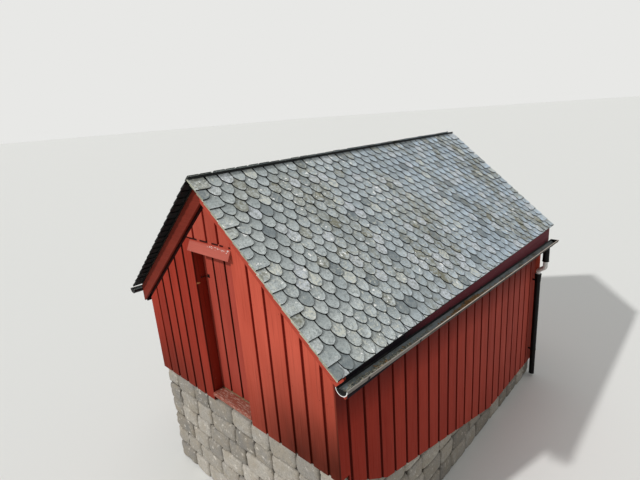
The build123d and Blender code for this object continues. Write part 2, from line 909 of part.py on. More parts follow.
bracket_pitch = (gutter_length - 2 * bracket_end_distance) / (bracket_count - 1)
bracket_rows = [bracket_end_distance + i * bracket_pitch for i in range(bracket_count)]
bracket_inner = gutter_radius + bracket_clearance
leg_outer_x = -(gutter_centre_x - fascia_face)
with BuildPart() as gutter_brackets:
    for side in SIDES.values():
        for distance in bracket_rows:
            rim_z = gutter_point(distance)[1]
            leg_top = max(bracket_leg_over_rim, fascia_bottom + bracket_leg - rim_z)
            with BuildSketch(gutter_plane(side, distance - bracket_width / 2)):
                half_disc(bracket_inner + bracket_strap)
                Circle(bracket_inner, mode=Mode.SUBTRACT)
                with Locations((side * (leg_outer_x + bracket_strap / 2), bracket_leg / 2 - leg_top / 2)):
                    Rectangle(bracket_strap, bracket_leg + leg_top)
            extrude(amount=bracket_width)
save(gutter_brackets, "gutter_brackets")

# Downpipes: outlet under the gutter, a bend back to the wall, and the pipe
outlet_y = slate_end_y - outlet_distance
outlet_rim_z = gutter_high_rim - gutter_fall * (outlet_y + slate_end_y) / gutter_run
outlet_bottom = outlet_rim_z - gutter_radius - outlet_length
pipe_top_height = outlet_bottom - bend_fall
pipe_x = half_width + pipe_wall_gap + pipe_radius
pipe_y = half_length - pipe_corner_distance

with BuildPart() as gutter_outlets:
    for side in SIDES.values():
        with BuildSketch(Plane.XY.offset(outlet_bottom)):
            with Locations((side * gutter_centre_x, outlet_y)):
                Circle(outlet_radius)
        extrude(amount=outlet_rim_z - outlet_bottom)
    for side in SIDES.values():
        with BuildSketch(gutter_plane(side, 0)):
            Circle(bracket_inner)
        extrude(amount=gutter_length, mode=Mode.SUBTRACT)
save(gutter_outlets, "gutter_outlets")

with BuildPart() as downpipe_bends:
    for side in SIDES.values():
        with BuildLine() as bend_path:
            FilletPolyline(
                (side * gutter_centre_x, outlet_y, outlet_bottom),
                (side * gutter_centre_x, outlet_y, outlet_bottom - bend_drop),
                (side * pipe_x, pipe_y, pipe_top_height + bend_tail),
                (side * pipe_x, pipe_y, pipe_top_height),
                radius=bend_fillet,
            )
        with BuildSketch(Plane.XY.offset(outlet_bottom)):
            with Locations((side * gutter_centre_x, outlet_y)):
                Circle(bend_radius)
        sweep(path=bend_path.line)
save(downpipe_bends, "downpipe_bends")

with BuildPart() as downpipes:
    for side in SIDES.values():
        with BuildSketch(Plane.XY.offset(pipe_foot_height)):
            with Locations((side * pipe_x, pipe_y)):
                Circle(pipe_radius)
        extrude(amount=pipe_top_height - pipe_foot_height)
        with BuildSketch(Plane.XY.offset(pipe_top_height - socket_length)):
            with Locations((side * pipe_x, pipe_y)):
                Circle(socket_radius)
        extrude(amount=socket_length)
save(downpipes, "downpipes")

clip_inner = pipe_radius + clip_clearance
high_clip_height = pipe_top_height - socket_length - high_clip_drop
with BuildPart() as downpipe_clips:
    for side in SIDES.values():
        for height in (low_clip_height, high_clip_height):
            with BuildSketch(Plane.XY.offset(height)):
                with Locations((side * pipe_x, pipe_y)):
                    Circle(clip_inner + clip_thickness)
                with Locations((side * (half_width + (pipe_x - half_width) / 2), pipe_y)):
                    Rectangle(pipe_x - half_width, clip_stem)
                with Locations((side * pipe_x, pipe_y)):
                    Circle(clip_inner, mode=Mode.SUBTRACT)
            extrude(amount=clip_height)
save(downpipe_clips, "downpipe_clips")
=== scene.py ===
"""Boathouse: boards, slates, stones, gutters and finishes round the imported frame."""
import random
from itertools import product
from math import atan, atan2, copysign, cos, exp, hypot, pi, radians, sin, sqrt, tan

import bmesh
import bpy
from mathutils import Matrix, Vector, noise


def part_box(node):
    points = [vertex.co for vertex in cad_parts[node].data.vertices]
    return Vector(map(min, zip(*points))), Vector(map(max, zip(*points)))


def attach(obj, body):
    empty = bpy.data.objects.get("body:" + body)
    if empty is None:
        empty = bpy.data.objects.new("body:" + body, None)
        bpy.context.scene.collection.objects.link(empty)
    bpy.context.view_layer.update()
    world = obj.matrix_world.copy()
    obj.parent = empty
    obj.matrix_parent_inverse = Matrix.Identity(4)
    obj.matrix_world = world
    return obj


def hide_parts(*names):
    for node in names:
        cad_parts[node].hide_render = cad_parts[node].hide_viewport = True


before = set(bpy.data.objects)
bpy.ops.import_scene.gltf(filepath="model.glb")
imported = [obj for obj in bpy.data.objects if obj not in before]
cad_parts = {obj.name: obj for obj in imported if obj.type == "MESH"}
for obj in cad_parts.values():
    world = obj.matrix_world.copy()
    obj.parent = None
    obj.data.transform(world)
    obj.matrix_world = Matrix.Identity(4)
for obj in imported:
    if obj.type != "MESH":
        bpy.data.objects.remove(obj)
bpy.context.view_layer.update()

# Sizes in metres. What the frame holds is read from it.
SIDES = {"left": -1, "right": 1}
HALF_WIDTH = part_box("front_wall_right")[1].x
BACK_REACH, OUTER_Y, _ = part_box("back_wall")[1]
INNER_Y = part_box("right_wall")[1].y
EAVE_X, VERGE_Y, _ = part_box("right_slates")[1]
FASCIA_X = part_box("right_fascia")[1].x
RIDGE_Z = 4.450
EAVE_Z = 2.850
SLATE_BED = 0.032
DECK_UNDER = SLATE_BED + 0.022
BARGE_UNDER = DECK_UNDER + 0.170
PITCH = atan((RIDGE_Z - EAVE_Z) / EAVE_X)
SLOPE_LENGTH = EAVE_X / cos(PITCH)

# Boards of the walls: upright, with grooves between them
RELIEF = 0.022
CORE_X = HALF_WIDTH - RELIEF
GROOVE = 0.037
BOARD_CHAMFER = 0.003
LEFT_GROOVES = (-1.469, -1.250, -1.035, -0.825, -0.595)
RIGHT_GROOVES = (0.629, 0.853, 1.102, 1.328, 1.562)
TOP_GROOVES = (-0.297, -0.034, 0.187)
TOP_BOARDS_END = 0.400
TOP_BOARDS_FOOT = 3.723
HEAD_BOARD_TOP = 3.706
# Where the joint over the drip board is open, from the drip board's left end
DRIP_GAPS = ((-0.018, 0.153), (0.208, 0.370), (0.442, 0.568), (0.587, 0.659), (0.749, 0.803))
# The gap between the gable's boards and the bargeboards, wider on the left
BARGE_SHADOW = 0.012
BARGE_SHADOW_LEFT = 3.5 * BARGE_SHADOW
BARGE_MITRE = 0.001
BARGE_NAILS = [0.12 + 0.26 * i for i in range(7)]
EAVE_FIRST_GROOVE = -2.523
EAVE_BOARD_WIDTH = 0.2472
BACK_BOARD_COUNT = 15
DOOR_GROOVES = (-0.202, 0.029, 0.260)
DOOR_GROOVE = 0.030
DECK_BOARD_WIDTH = 0.125
FLOOR_BOARD_WIDTH = 0.140
NAIL_MARGIN = 0.030
NAIL_SPACING = 0.750

# Doorway
LINING_LEFT, OPENING_LEFT = (corner.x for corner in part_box("left_jamb"))
OPENING_RIGHT, LINING_RIGHT = (corner.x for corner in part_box("right_jamb"))
OPENING_HEAD, LINING_TOP = (corner.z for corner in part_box("door_head"))
# Outline of the chip off the left jamb: inwards from the gable's face, and up
CHIP = ((0.004, 3.150), (0.034, 3.143), (0.058, 3.152), (0.036, 3.163), (0.012, 3.170))

# The bank's line along the walls' feet
FRONT_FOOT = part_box("front_wall_left")[0].z
BACK_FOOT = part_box("back_wall")[0].z
BANK = (
    (-INNER_Y, FRONT_FOOT),
    (-INNER_Y, FRONT_FOOT - 0.084),
    (-1.935, 1.054),
    (0.870, BACK_FOOT),
)

# Footing: stones in courses, with packing behind their joints
COURSES = 6
STONE_LENGTH = 0.400
STONE_SHARES = (1.1, 0.85, 1.3, 0.95, 0.8)
STONE_DEPTH = 0.150
LOWEST_STONE = 0.040
# Its roughness: how fine, and how deep for a stone of half size 1
STONE_ROUGHNESS = ((1.1, 0.09), (2.7, 0.05))
STONE_SQUARENESS = 8
JOINT = 0.010
PACKING_SETBACK = 0.034
PACKING_DROP = 0.030
SILL_STONES = 4

# Slates
SLATE_ROWS = 18
SLATE_GAUGE = 0.134
SLATE_PITCH = 0.159
SLATE_LENGTH = 0.245
SLATE_THICKNESS = 0.011
SLATE_CHAMFER = 0.0045
SLATE_TILT = SLATE_THICKNESS / SLATE_GAUGE
EAVE_SLATE_TILT = 0.045
SCALE_DROP = 0.100
COMB_FOOT = 0.072
COMB_HEIGHT = 0.038
COMB_END = 0.270

# Gutters, with the stretch where the eave's front part, painted in shade and light, ends
FRONT_LIGHT_STRETCH = (-1.8, -1.3)
GUTTER_R = 0.062
GUTTER_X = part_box("right_gutter")[1].x - GUTTER_R
GUTTER_WALL = 0.0025
GUTTER_BEAD = 0.006
GUTTER_INNER_R = GUTTER_R - GUTTER_WALL
CAP_THICKNESS = 0.003
RIM_Z = 2.785
GUTTER_FALL = 0.200

# Litter in each gutter: grit in front, leaves in the middle. Drifts: middle and spread.
LITTER_COUNT = 1800
LITTER_ENDS = (-2.8, 2.75)
GRIT_DRIFT = (-2.2, 0.5)
GRIT_END = -1.2
GRIT_SHARE = 0.93
LEAF_DRIFT = (-0.5, 0.3)


def roof_z(x, depth=0):
    """Height at x of the plane that lies depth below the slates' face."""
    return RIDGE_Z - tan(PITCH) * abs(x) - depth / cos(PITCH)


def on_slope(side, y, down, height):
    """Point on a roof slope, down from the ridge and height above the slates' face."""
    x = down * cos(PITCH) + height * sin(PITCH)
    z = RIDGE_Z - down * sin(PITCH) + height * cos(PITCH)
    return side * x, y, z


def bank_z(y):
    """Height of the boards' lower ends at a place along an eave wall."""
    if y <= -INNER_Y:
        return FRONT_FOOT
    for (y0, z0), (y1, z1) in zip(BANK[1:], BANK[2:]):
        if y <= y1:
            return z0 + (z1 - z0) * (y - y0) / (y1 - y0)
    return BACK_FOOT


def rim_z(y):
    """Height of a gutter's rim."""
    return RIM_Z - GUTTER_FALL * (y + VERGE_Y) / (2 * VERGE_Y)


def circle(radius, count=28, x=0, y=0):
    turns = [2 * pi * i / count for i in range(count)]
    return [(x + radius * cos(t), y + radius * sin(t)) for t in turns]


def rectangle(a0, b0, a1, b1):
    return [(a0, b0), (a1, b0), (a1, b1), (a0, b1)]


def band(x0, x1, low, high):
    """Outline from x0 to x1 between the lines low(x) and high(x)."""
    return [(x0, low(x0)), (x1, low(x1)), (x1, high(x1)), (x0, high(x0))]


def turned(a, b, turn):
    """A point turned round the origin."""
    return a * cos(turn) - b * sin(turn), a * sin(turn) + b * cos(turn)


# Unless it is seeded, the noise that roughens the stones starts from the clock
noise.seed_set(41)


# Meshes
def add_object(name, data):
    made = bpy.data.objects.new(name, data)
    bpy.context.scene.collection.objects.link(made)
    return made


def enter(piece, body, replaces):
    """A piece rides on its body and the nodes that it stands for."""
    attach(piece, body)
    if replaces:
        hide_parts(*replaces)


def soften(mesh, angle):
    """Smooth shading, with edges sharper than the angle in degrees kept."""
    mesh.polygons.foreach_set("use_smooth", [True] * len(mesh.polygons))
    mesh.set_sharp_from_angle(angle=radians(angle))


class Pile:
    """The solids of one piece, with what its finish needs at each vertex."""

    def __init__(self, seed):
        self.random = random.Random(seed)
        self.points, self.faces, self.paints = [], [], []
        self.grain, self.tone, self.above = [], [], []

    def add(self, points, faces, paints, grain, above):
        """One closed solid. Its tone and the start of its grain are its own."""
        start = len(self.points)
        tone = self.random.random()
        offset = [self.random.uniform(0, 20) for _ in range(3)]
        self.points += points
        self.faces += [[start + i for i in face] for face in faces]
        self.paints += paints
        self.grain += [tuple(a + b for a, b in zip(g, offset)) for g in grain]
        self.tone += [tone] * len(points)
        self.above += above

    def build(self, name, finishes, replaces=(), slot="red_boards", body="house", smooth=25):
        """The finished piece, riding on its body."""
        mesh = bpy.data.meshes.new(name)
        mesh.from_pydata(self.points, [], self.faces)
        for finish in finishes:
            mesh.materials.append(finish)
        mesh.polygons.foreach_set("material_index", self.paints)
        work = bmesh.new()
        work.from_mesh(mesh)
        bmesh.ops.recalc_face_normals(work, faces=work.faces)
        work.to_mesh(mesh)
        work.free()
        flat = [value for vector in self.grain for value in vector]
        mesh.attributes.new("grain", "FLOAT_VECTOR", "POINT").data.foreach_set("vector", flat)
        for attribute in ("tone", "above"):
            data = mesh.attributes.new(attribute, "FLOAT", "POINT").data
            data.foreach_set("value", getattr(self, attribute))
        soften(mesh, smooth)
        enter(add_object(name, mesh), body, replaces)


def sided(seed):
    """The left and the right side, each with a pile of its own."""
    return [(hand, side, Pile(seed + side)) for hand, side in SIDES.items()]


def inset(outline, width):
    """The outline with each side moved inwards by width."""
    count = len(outline)
    moved = []
    for i in range(count):
        here = Vector(outline[i])
        into = (here - Vector(outline[i - 1])).normalized()
        out = (Vector(outline[(i + 1) % count]) - here).normalized()
        normal_in = Vector((-into.y, into.x))
        normal_out = Vector((-out.y, out.x))
        moved.append(here + (normal_in + normal_out) * (width / (1 + normal_in.dot(normal_out))))
    return moved


def plank(pile, outline, place, back, front, chamfer=BOARD_CHAMFER, along=True, paints=0):
    """A flat solid on an outline, its front edge chamfered, its grain along b or else along a.

    Paints are one for all faces, or those of the front, the sides and the back.
    """
    count = len(outline)
    on_face, on_sides, on_back = paints if isinstance(paints, tuple) else [paints] * 3
    rings = ((outline, back), (outline, front - chamfer), (inset(outline, chamfer), front))
    flat = [(a, b, h) for ring, h in rings for a, b in ring]
    lowest = min(b for _, b, _ in flat)
    faces = [list(reversed(range(count))), [2 * count + i for i in range(count)]]
    for ring in (0, count):
        for i in range(count):
            j = (i + 1) % count
            faces.append([ring + i, ring + j, ring + count + j, ring + count + i])
    pile.add(
        [place(a, b, h) for a, b, h in flat],
        faces,
        [on_back, on_face] + [on_sides] * (2 * count),
        [(b, a, h) if along else (a, b, h) for a, b, h in flat],
        [b - lowest for _, b, _ in flat],
    )


def nails(pile, place, spots, front, radius=0.0035):
    """Nail heads on a board's face."""
    for a, b in spots:
        plank(pile, circle(radius, 8, a, b), place, front - 0.002, front + 0.0008, 0.0006)


def nail_rows(pile, place, rows, start, end):
    """Nails by both edges of an upright board."""
    edges = (start + NAIL_MARGIN, end - NAIL_MARGIN)
    nails(pile, place, [(a, b) for b in rows for a in edges], RELIEF)


def facing_x(x, way, turn=1):
    """Places along the house, up, and out from x."""
    return lambda a, b, h: (x + way * h, turn * a, b)


def facing_y(y, way, turn=1):
    """Places across the house, up, and out from y."""
    return lambda a, b, h: (turn * a, y + way * h, b)


def facing_up(a, b, h):
    return a, b, h


on_front = facing_y(RELIEF - OUTER_Y, -1)
on_back = facing_y(OUTER_Y - RELIEF, 1, -1)


# Finishes. Colours are the 0 to 255 values that a picture shows.
def rgb(red, green, blue):
    """Linear colour, as the nodes take it."""
    linear = []
    for value in (red, green, blue):
        share = value / 255
        linear.append(share / 12.92 if share <= 0.04045 else ((share + 0.055) / 1.055) ** 2.4)
    return (*linear, 1)


def scaled(colour, share):
    return tuple(share * value for value in colour)


class Nodes:
    """The node tree of a material or world, with short ways to add to it."""

    def __init__(self, owner):
        owner.use_nodes = True
        self.owner = owner
        self.tree = owner.node_tree

    def feed(self, socket, value):
        if isinstance(value, bpy.types.NodeSocket):
            self.tree.links.new(value, socket)
        else:
            socket.default_value = value

    def node(self, kind, feeds=(), **settings):
        """A node with its settings, and what each of its inputs is fed."""
        made = self.tree.nodes.new("ShaderNode" + kind)
        for name, value in settings.items():
            setattr(made, name, value)
        for name, value in feeds:
            self.feed(made.inputs[name], value)
        return made


class Finish(Nodes):
    """A material. Its base is the colour so far."""

    def __init__(self, name, roughness=0.7, metallic=0, specular=0.5):
        super().__init__(bpy.data.materials.new(name))
        self.shader = self.tree.nodes["Principled BSDF"].inputs
        self.shader["Roughness"].default_value = roughness
        self.shader["Metallic"].default_value = metallic
        self.shader["Specular IOR Level"].default_value = specular
        self.base = None

    def attribute(self, name, output="Fac"):
        return self.node("Attribute", attribute_name=name).outputs[output]

    def here(self):
        return self.node("TexCoord").outputs["Object"]

    def here_along(self, axis):
        return self.node("SeparateXYZ", [("Vector", self.here())]).outputs[axis]

    def place(self, along=None):
        """Position with the grain's direction first: the mesh's own, or an axis."""
        if along is None:
            return self.attribute("grain", "Vector")
        order = {"x": "XYZ", "y": "YXZ", "z": "ZXY"}[along]
        return self.node("CombineXYZ", enumerate(map(self.here_along, order))).outputs["Vector"]

    def noise(self, vector, scale, detail=3, stretch=None, roughness=0.55):
        if stretch:
            feeds = enumerate((vector, stretch))
            vector = self.node("VectorMath", feeds, operation="MULTIPLY").outputs["Vector"]
        feeds = [("Vector", vector), ("Scale", scale), ("Detail", detail), ("Roughness", roughness)]
        return self.node("TexNoise", feeds).outputs["Fac"]

    def span(self, value, low, high, out_low=0, out_high=1):
        """A value from low to high mapped to out_low to out_high, and held there."""
        return self.node("MapRange", enumerate((value, low, high, out_low, out_high))).outputs[0]

    def along_house(self, low, high, out_low=0, out_high=1):
        """The same between two places along the house, from front to back."""
        return self.span(self.here_along("Y"), low, high, out_low, out_high)

    def maths(self, operation, *values):
        return self.node("Math", enumerate(values), operation=operation).outputs["Value"]

    def sum(self, first, second):
        return self.maths("ADD", first, second)

    def times(self, first, second):
        return self.maths("MULTIPLY", first, second)

    def mix(self, factor, first, second):
        """From the first colour to the second. Each is a socket or three values."""
        first, second = (rgb(*v) if isinstance(v, tuple) else v for v in (first, second))
        return self.node("Mix", ((0, factor), (6, first), (7, second)), data_type="RGBA").outputs[2]

    def coat(self, share, colour):
        """A colour laid over the base, its share from 0 to 1."""
        self.base = self.mix(share, self.base, colour)

    def stain(self, value, low, high, out_low, out_high, colour):
        """A colour laid over the base where a value lies in a span."""
        self.coat(self.span(value, low, high, out_low, out_high), colour)

    def done(self, height, distance, strength, rough=None):
        """The material, with its base colour, bumps and roughness."""
        feeds = (("Height", height), ("Distance", distance), ("Strength", strength))
        self.feed(self.shader["Normal"], self.node("Bump", feeds).outputs["Normal"])
        self.feed(self.shader["Base Color"], self.base)
        if rough:
            self.feed(self.shader["Roughness"], rough)
        return self.owner


def grained(f, along, deep, light, streak, cloud, tone_share):
    """Wood's first colour, by the board's tone and by clouds, with what it is made of."""
    place = f.place(along)
    streaks = f.noise(place, 1, 6, streak, 0.65)
    clouds = f.noise(place, 1, 3, cloud)
    tone = f.attribute("tone") if along is None else 0.5
    shade = f.sum(f.times(tone, tone_share), f.span(clouds, 0.3, 0.7, 0, 1 - tone_share))
    f.base = f.mix(shade, deep, light)
    return place, streaks, clouds, shade


def painted(name, deep, light, worn=0, along=None, bare=(150, 128, 118), foot_darkening=0, near=None, hazy=None):
    """Red paint on sawn boards: grain, tone by board, darker low down, and bare wood."""
    f = Finish(name, specular=0.08)
    stretches = (1.4, 70, 70), (1.1, 5, 5)
    place, streaks, clouds, shade = grained(f, along, deep, light, *stretches, 0.45)
    if hazy:
        # Painted light and shade: paler towards the back as haze, and painted shade close under the gutter
        f.coat(f.along_house(-2.4, 1.6), f.mix(shade, *hazy))
        level = f.sum(f.here_along("Z"), f.times(f.here_along("Y"), 0.036))
        f.stain(level, 1.98, 2.33, 0, 0.62, (48, 10, 10))
    f.stain(streaks, 0.52, 0.72, 0, 0.35, scaled(deep, 0.72))
    checks = f.noise(place, 1, 2, (0.9, 130, 130), 0.4)
    f.stain(checks, 0.71, 0.76, 0, 0.6, scaled(deep, 0.4))
    if foot_darkening:
        # Darker towards the foot, more towards the corners of the house than by the door
        above = f.attribute("above")
        darkening = f.span(f.maths("ABSOLUTE", f.here_along("X")), 0.5, 1.1, 0.45 * foot_darkening, foot_darkening)
        low = f.times(darkening, f.span(above, 0.1, 1.3, 1, 0))
        nearest_foot = f.times(darkening, f.span(above, 0.1, 0.7, 0.65, 0))
        for share in (f.times(low, f.span(clouds, 0.3, 0.6, 0.65, 1)), nearest_foot):
            f.coat(share, (64, 17, 4))
    if worn:
        flakes = f.noise(place, 1, 8, (16, 70, 70), 0.7)
        f.stain(flakes, 0.66 - 0.2 * worn, 0.71 - 0.2 * worn, 0, 0.9, bare)
    # At the front: the fascia near black as painted shade
    if near:
        f.coat(f.along_house(*FRONT_LIGHT_STRETCH, 1, 0), near)
    return f.done(streaks, 0.0012, 0.8, f.span(streaks, 0.3, 0.7, 0.55, 0.8))


def bare_wood(name, deep, light, along=None):
    """Unpainted timber with long grain and a few dark streaks."""
    f = Finish(name, 0.8, specular=0.2)
    _, streaks, _, _ = grained(f, along, deep, light, (1.2, 55, 55), (0.9, 6, 6), 0.5)
    f.stain(streaks, 0.5, 0.75, 0, 0.6, scaled(deep, 0.6))
    return f.done(streaks, 0.001, 0.7)


def slate_finish(name, shade=None):
    """Blue-grey slate: tone by slate, mottling, olive stains, lichen, and painted sheen, highlights, shade
    and glints.
    """
    f = Finish(name, 0.6, specular=0.1 if shade else 0.5)
    place = f.place()
    here = f.here()
    tone = f.attribute("tone")
    above = f.attribute("above")
    fine = f.noise(place, 60, 6, roughness=0.75)
    clouds = f.noise(place, 22, 5, roughness=0.65)
    # Painted sheen: paler and bluer towards the back, warmer by the front verge
    near = f.mix(tone, (176, 185, 184), (222, 228, 224))
    far = f.mix(tone, (172, 191, 208), (214, 233, 250))
    f.base = f.mix(f.along_house(-2.5, 1.5), near, far)
    # Painted highlight pale at the tip, and painted shade and soiling where the slates above overlap
    f.stain(above, 0, 0.045, 0.35, 0, (226, 230, 232))
    f.stain(above, 0.06, 0.16, 0, 0.5, (92, 98, 100))
    # A few pale and a few dark slates
    f.stain(tone, 0.90, 0.92, 0, 0.7, (224, 229, 236))
    f.stain(tone, 0.06, 0.07, 0.8, 0, (98, 108, 113))
    f.stain(clouds, 0.42, 0.62, 0, 0.65, (162, 168, 165))
    f.stain(clouds, 0.56, 0.68, 0, 0.6, (118, 127, 130))
    f.stain(fine, 0.47, 0.66, 0, 0.7, (114, 122, 124))
    # Olive stains, fewer by the front verge
    stains = f.noise(here, 1, 5, (0.7, 1.9, 0.7), 0.6)
    stained = f.times(f.span(stains, 0.51, 0.61), f.along_house(-2.2, -1, 0.15, 1))
    mossy = f.sum(stained, f.span(tone, 0.80, 0.84, 0, 0.9))
    moss = f.times(mossy, f.span(clouds, 0.36, 0.56, 0.1, 0.85))
    f.coat(f.times(moss, f.span(tone, 0.89, 0.9, 1, 0.2)), (122, 121, 104))
    # Lichen in fields, and on the slates of one tone
    lichen_field = f.noise(here, 1.5, 3)
    spots = f.noise(here, 30, 6, roughness=0.75)
    crusted = f.sum(f.span(tone, 0.600, 0.601), f.span(tone, 0.640, 0.641, 0, -1))
    lichen = f.times(f.span(lichen_field, 0.42, 0.56), f.span(spots, 0.53, 0.60, 0, 0.85))
    lichen = f.sum(lichen, f.times(crusted, f.span(spots, 0.44, 0.54, 0, 0.8)))
    f.coat(lichen, (212, 213, 200))
    # Bright specks in the lichen fields: painted glints
    specks = f.noise(here, 14, 2)
    f.coat(f.times(f.span(lichen_field, 0.44, 0.54), f.span(specks, 0.665, 0.68)), (252, 252, 248))
    if shade:
        # In shadow, each slate with a shade of its own between two
        f.stain(tone, 0, 1, *shade, (10, 11, 12))
    height = f.sum(fine, f.times(clouds, 2))
    return f.done(height, 0.0028, 1, f.span(fine, 0.3, 0.7, 0.5, 0.75))


def stone_finish(name, deep, light):
    """Grey field stone with lichen and darker damp patches."""
    f = Finish(name, 0.85)
    place = f.place()
    fine = f.noise(place, 45, 8, roughness=0.7)
    clouds = f.noise(place, 6, 4)
    spots = f.noise(place, 16, 6, roughness=0.7)
    warm = tuple(0.5 * d + 0.5 * t - s for d, t, s in zip(deep, light, (-4, 3, 15)))
    lichen = tuple(min(255, 1.2 * v) for v in light)
    f.base = f.mix(f.attribute("tone"), deep, light)
    f.stain(clouds, 0.35, 0.7, 0, 0.6, warm)
    f.stain(fine, 0.48, 0.7, 0, 0.6, scaled(deep, 0.7))
    f.stain(spots, 0.58, 0.66, 0, 0.75, lichen)
    return f.done(f.sum(fine, f.times(clouds, 3)), 0.005, 0.9)


def coated(name, clean, grime_and_highlight, roughness=0.45, metallic=0, share=0.5, near=None):
    """Painted surface with smudges in soft patches, and the near colour at the front if given."""
    f = Finish(name, roughness, metallic, specular=0.15)
    here = f.here()
    patches = f.noise(here, 14, 7, (1, 0.35, 1), 0.7)
    fine = f.noise(here, 160, 3)
    f.base = f.mix(f.span(patches, 0.62 - 0.2 * share, 0.8 - 0.2 * share), clean, grime_and_highlight)
    f.stain(fine, 0.55, 0.8, 0, 0.35, grime_and_highlight)
    # At the front: painted light on the gutter's outside, a weaker painted highlight on the rim
    if near:
        f.coat(f.along_house(*FRONT_LIGHT_STRETCH, 1, 0), near)
    return f.done(fine, 0.0004, 0.5, f.span(patches, 0.3, 0.7, roughness - 0.1, roughness + 0.25))


# Paints of the boards, by where they are. The red is as lit; the top, left and side copies are darker as
# painted shade
hazy_red = (154, 62, 51), (182, 80, 66)
red = painted("red_boards", (170, 68, 50), (202, 92, 72), foot_darkening=0.95)
red_top = painted("red_boards_top", (152, 60, 45), (178, 79, 62))
red_left = painted("red_boards_left", (132, 38, 24), (162, 54, 37), foot_darkening=0.5)
red_side = painted("red_boards_side", (140, 39, 25), (166, 53, 37), foot_darkening=0.05, hazy=hazy_red)
red_door = painted("red_boards_door", (150, 58, 45), (176, 77, 63), foot_darkening=0.3)

# Painted shade in the grooves and on the boards' edges in them, one copy for each side's light
groove_red = (112, 32, 22), (136, 42, 30)
edge_red = (146, 46, 33), (172, 62, 48)
painted_shade = painted("painted_shade", (40, 8, 6), (54, 12, 9))
groove_top = painted("groove_top", *groove_red)
groove_sunny = painted("groove_sunny", *groove_red, foot_darkening=1)
groove_side = painted("groove_side", (70, 17, 11), (88, 22, 15))
board_edge = painted("board_edge", (72, 22, 15), (92, 30, 21))
edge_top = painted("board_edge_top", *edge_red)
edge_sunny = painted("board_edge_sunny", *edge_red, foot_darkening=1)
edge_side = painted("board_edge_side", (96, 28, 19), (118, 38, 28))

# Trim and bare timber
# The red trim darker as painted shade, for the left and back bargeboards; the sunny copy is lit
red_trim = painted("red_trim", (103, 34, 24), (125, 47, 33))
red_trim_sunny = painted("red_trim_sunny", (154, 57, 42), (181, 76, 59))
reveal_paint = painted("reveal_paint", (118, 31, 19), (137, 41, 27), 0.05, "z")
drip_red = painted("drip_red", (170, 87, 74), (192, 103, 90), 0.06, bare=(214, 196, 186))
sill_red = painted("sill_red", (132, 70, 56), (150, 90, 76), 0.7, bare=(172, 140, 126))
# The fascia's red darkened as painted shade under the slates, and near black at the front
fascia_red = painted("fascia_red", (92, 36, 45), (116, 56, 65), 0.3, None, (124, 100, 100), near=(26, 20, 27))
timber_colours = (120, 96, 70), (158, 132, 100)
timber = bare_wood("bare_timber", *timber_colours)
timber_along = {axis: bare_wood(f"bare_timber_{axis}", *timber_colours, axis) for axis in "xyz"}
# Near black: painted shade on the roof boards' ends and edges
deck_edge = bare_wood("deck_edge", (6, 5, 4), (12, 10, 8))
leaf_litter = bare_wood("leaf_litter", (96, 68, 42), (176, 140, 92))
chipped_wood = bare_wood("chipped_wood", (176, 112, 64), (214, 158, 104))

# Slates and stones
slate = slate_finish("slate")
# Painted shadow: the slates' edges, undersides and the ridge's bedding nearly black
slate_edge = slate_finish("slate_edge", (0.97, 0.97))
# Painted shade on the comb's backs, each slate darker by a share of its own
slate_comb = slate_finish("slate_comb", (0, 0.6))
# The right verge's outer slate edges pale as painted light
slate_verge = stone_finish("slate_verge", (128, 132, 118), (186, 188, 174))
stone = stone_finish("dry_stone", (116, 112, 106), (176, 170, 160))
packing = stone_finish("stone_packing", (44, 42, 38), (62, 58, 52))
gutter_grit = stone_finish("gutter_grit", (92, 94, 84), (182, 182, 166))

# Gutters, pipes and iron
gutter_outside = coated("gutter_outside", (26, 27, 30), (58, 56, 52), 0.4)
gutter_inside = coated("gutter_inside", (128, 136, 138), (88, 86, 74), 0.6, share=0.8)
# Pale on the rim's bead as a painted highlight, weaker at the front
gutter_rim = coated("gutter_rim", (196, 184, 172), (128, 108, 90), 0.5, near=(150, 144, 136))
# Painted light: the lit top of the black outside, lighter at the front
gutter_face = coated("gutter_face", (66, 60, 56), (80, 72, 64), 0.5, near=(126, 120, 114))
# The pipes' own black, darkened further as painted shade
black_pipe = coated("black_pipe", (6, 4, 4), (18, 14, 13), 0.4, share=0.3)
white_pipe = coated("white_pipe", (222, 222, 218), (170, 166, 156), 0.4, share=0.3)
# Pale patches on the iron: worn metal and painted highlight
forged_iron = coated("forged_iron", (24, 18, 18), (150, 138, 128), 0.5, 0.3, share=0.3)


# Walls
def board_spans(edges, groove=GROOVE):
    """Starts and ends of the boards between grooves. The outer edges have no groove."""
    last = len(edges) - 2
    half = groove / 2
    spans = []
    for i, (start, end) in enumerate(zip(edges, edges[1:])):
        spans.append((start + (half if i > 0 else 0), end - (half if i < last else 0)))
    return spans


def board(pile, outline, place, edge=1):
    """One board. Its edges are painted dark as shade in the grooves, and painted as its face at a corner."""
    front = RELIEF - pile.random.uniform(0, 0.0015)
    plank(pile, outline, place, 0, front, paints=(0, edge, edge))


def level_foot(height):
    return lambda start, end: [(start, height), (end, height)]


def clad(pile, place, spans, foot, top, peak=None, edge=1):
    """Upright boards from their foot line to top(a), with the ridge's point if given."""
    for start, end in spans:
        rise = pile.random.uniform(0, 0.004)
        line = [(a, b + rise) for a, b in foot(start, end)]
        point = [(0, peak)] if peak is not None and start < 0 < end else []
        board(pile, [*line, (end, top(end)), *point, (start, top(start))], place, edge)
        highest = min(top(start), top(end)) - 0.05
        lowest = max(b for _, b in line) + 0.10
        rows = [lowest + NAIL_SPACING * i for i in range(5)]
        nail_rows(pile, place, [b for b in rows if b < highest], start, end)


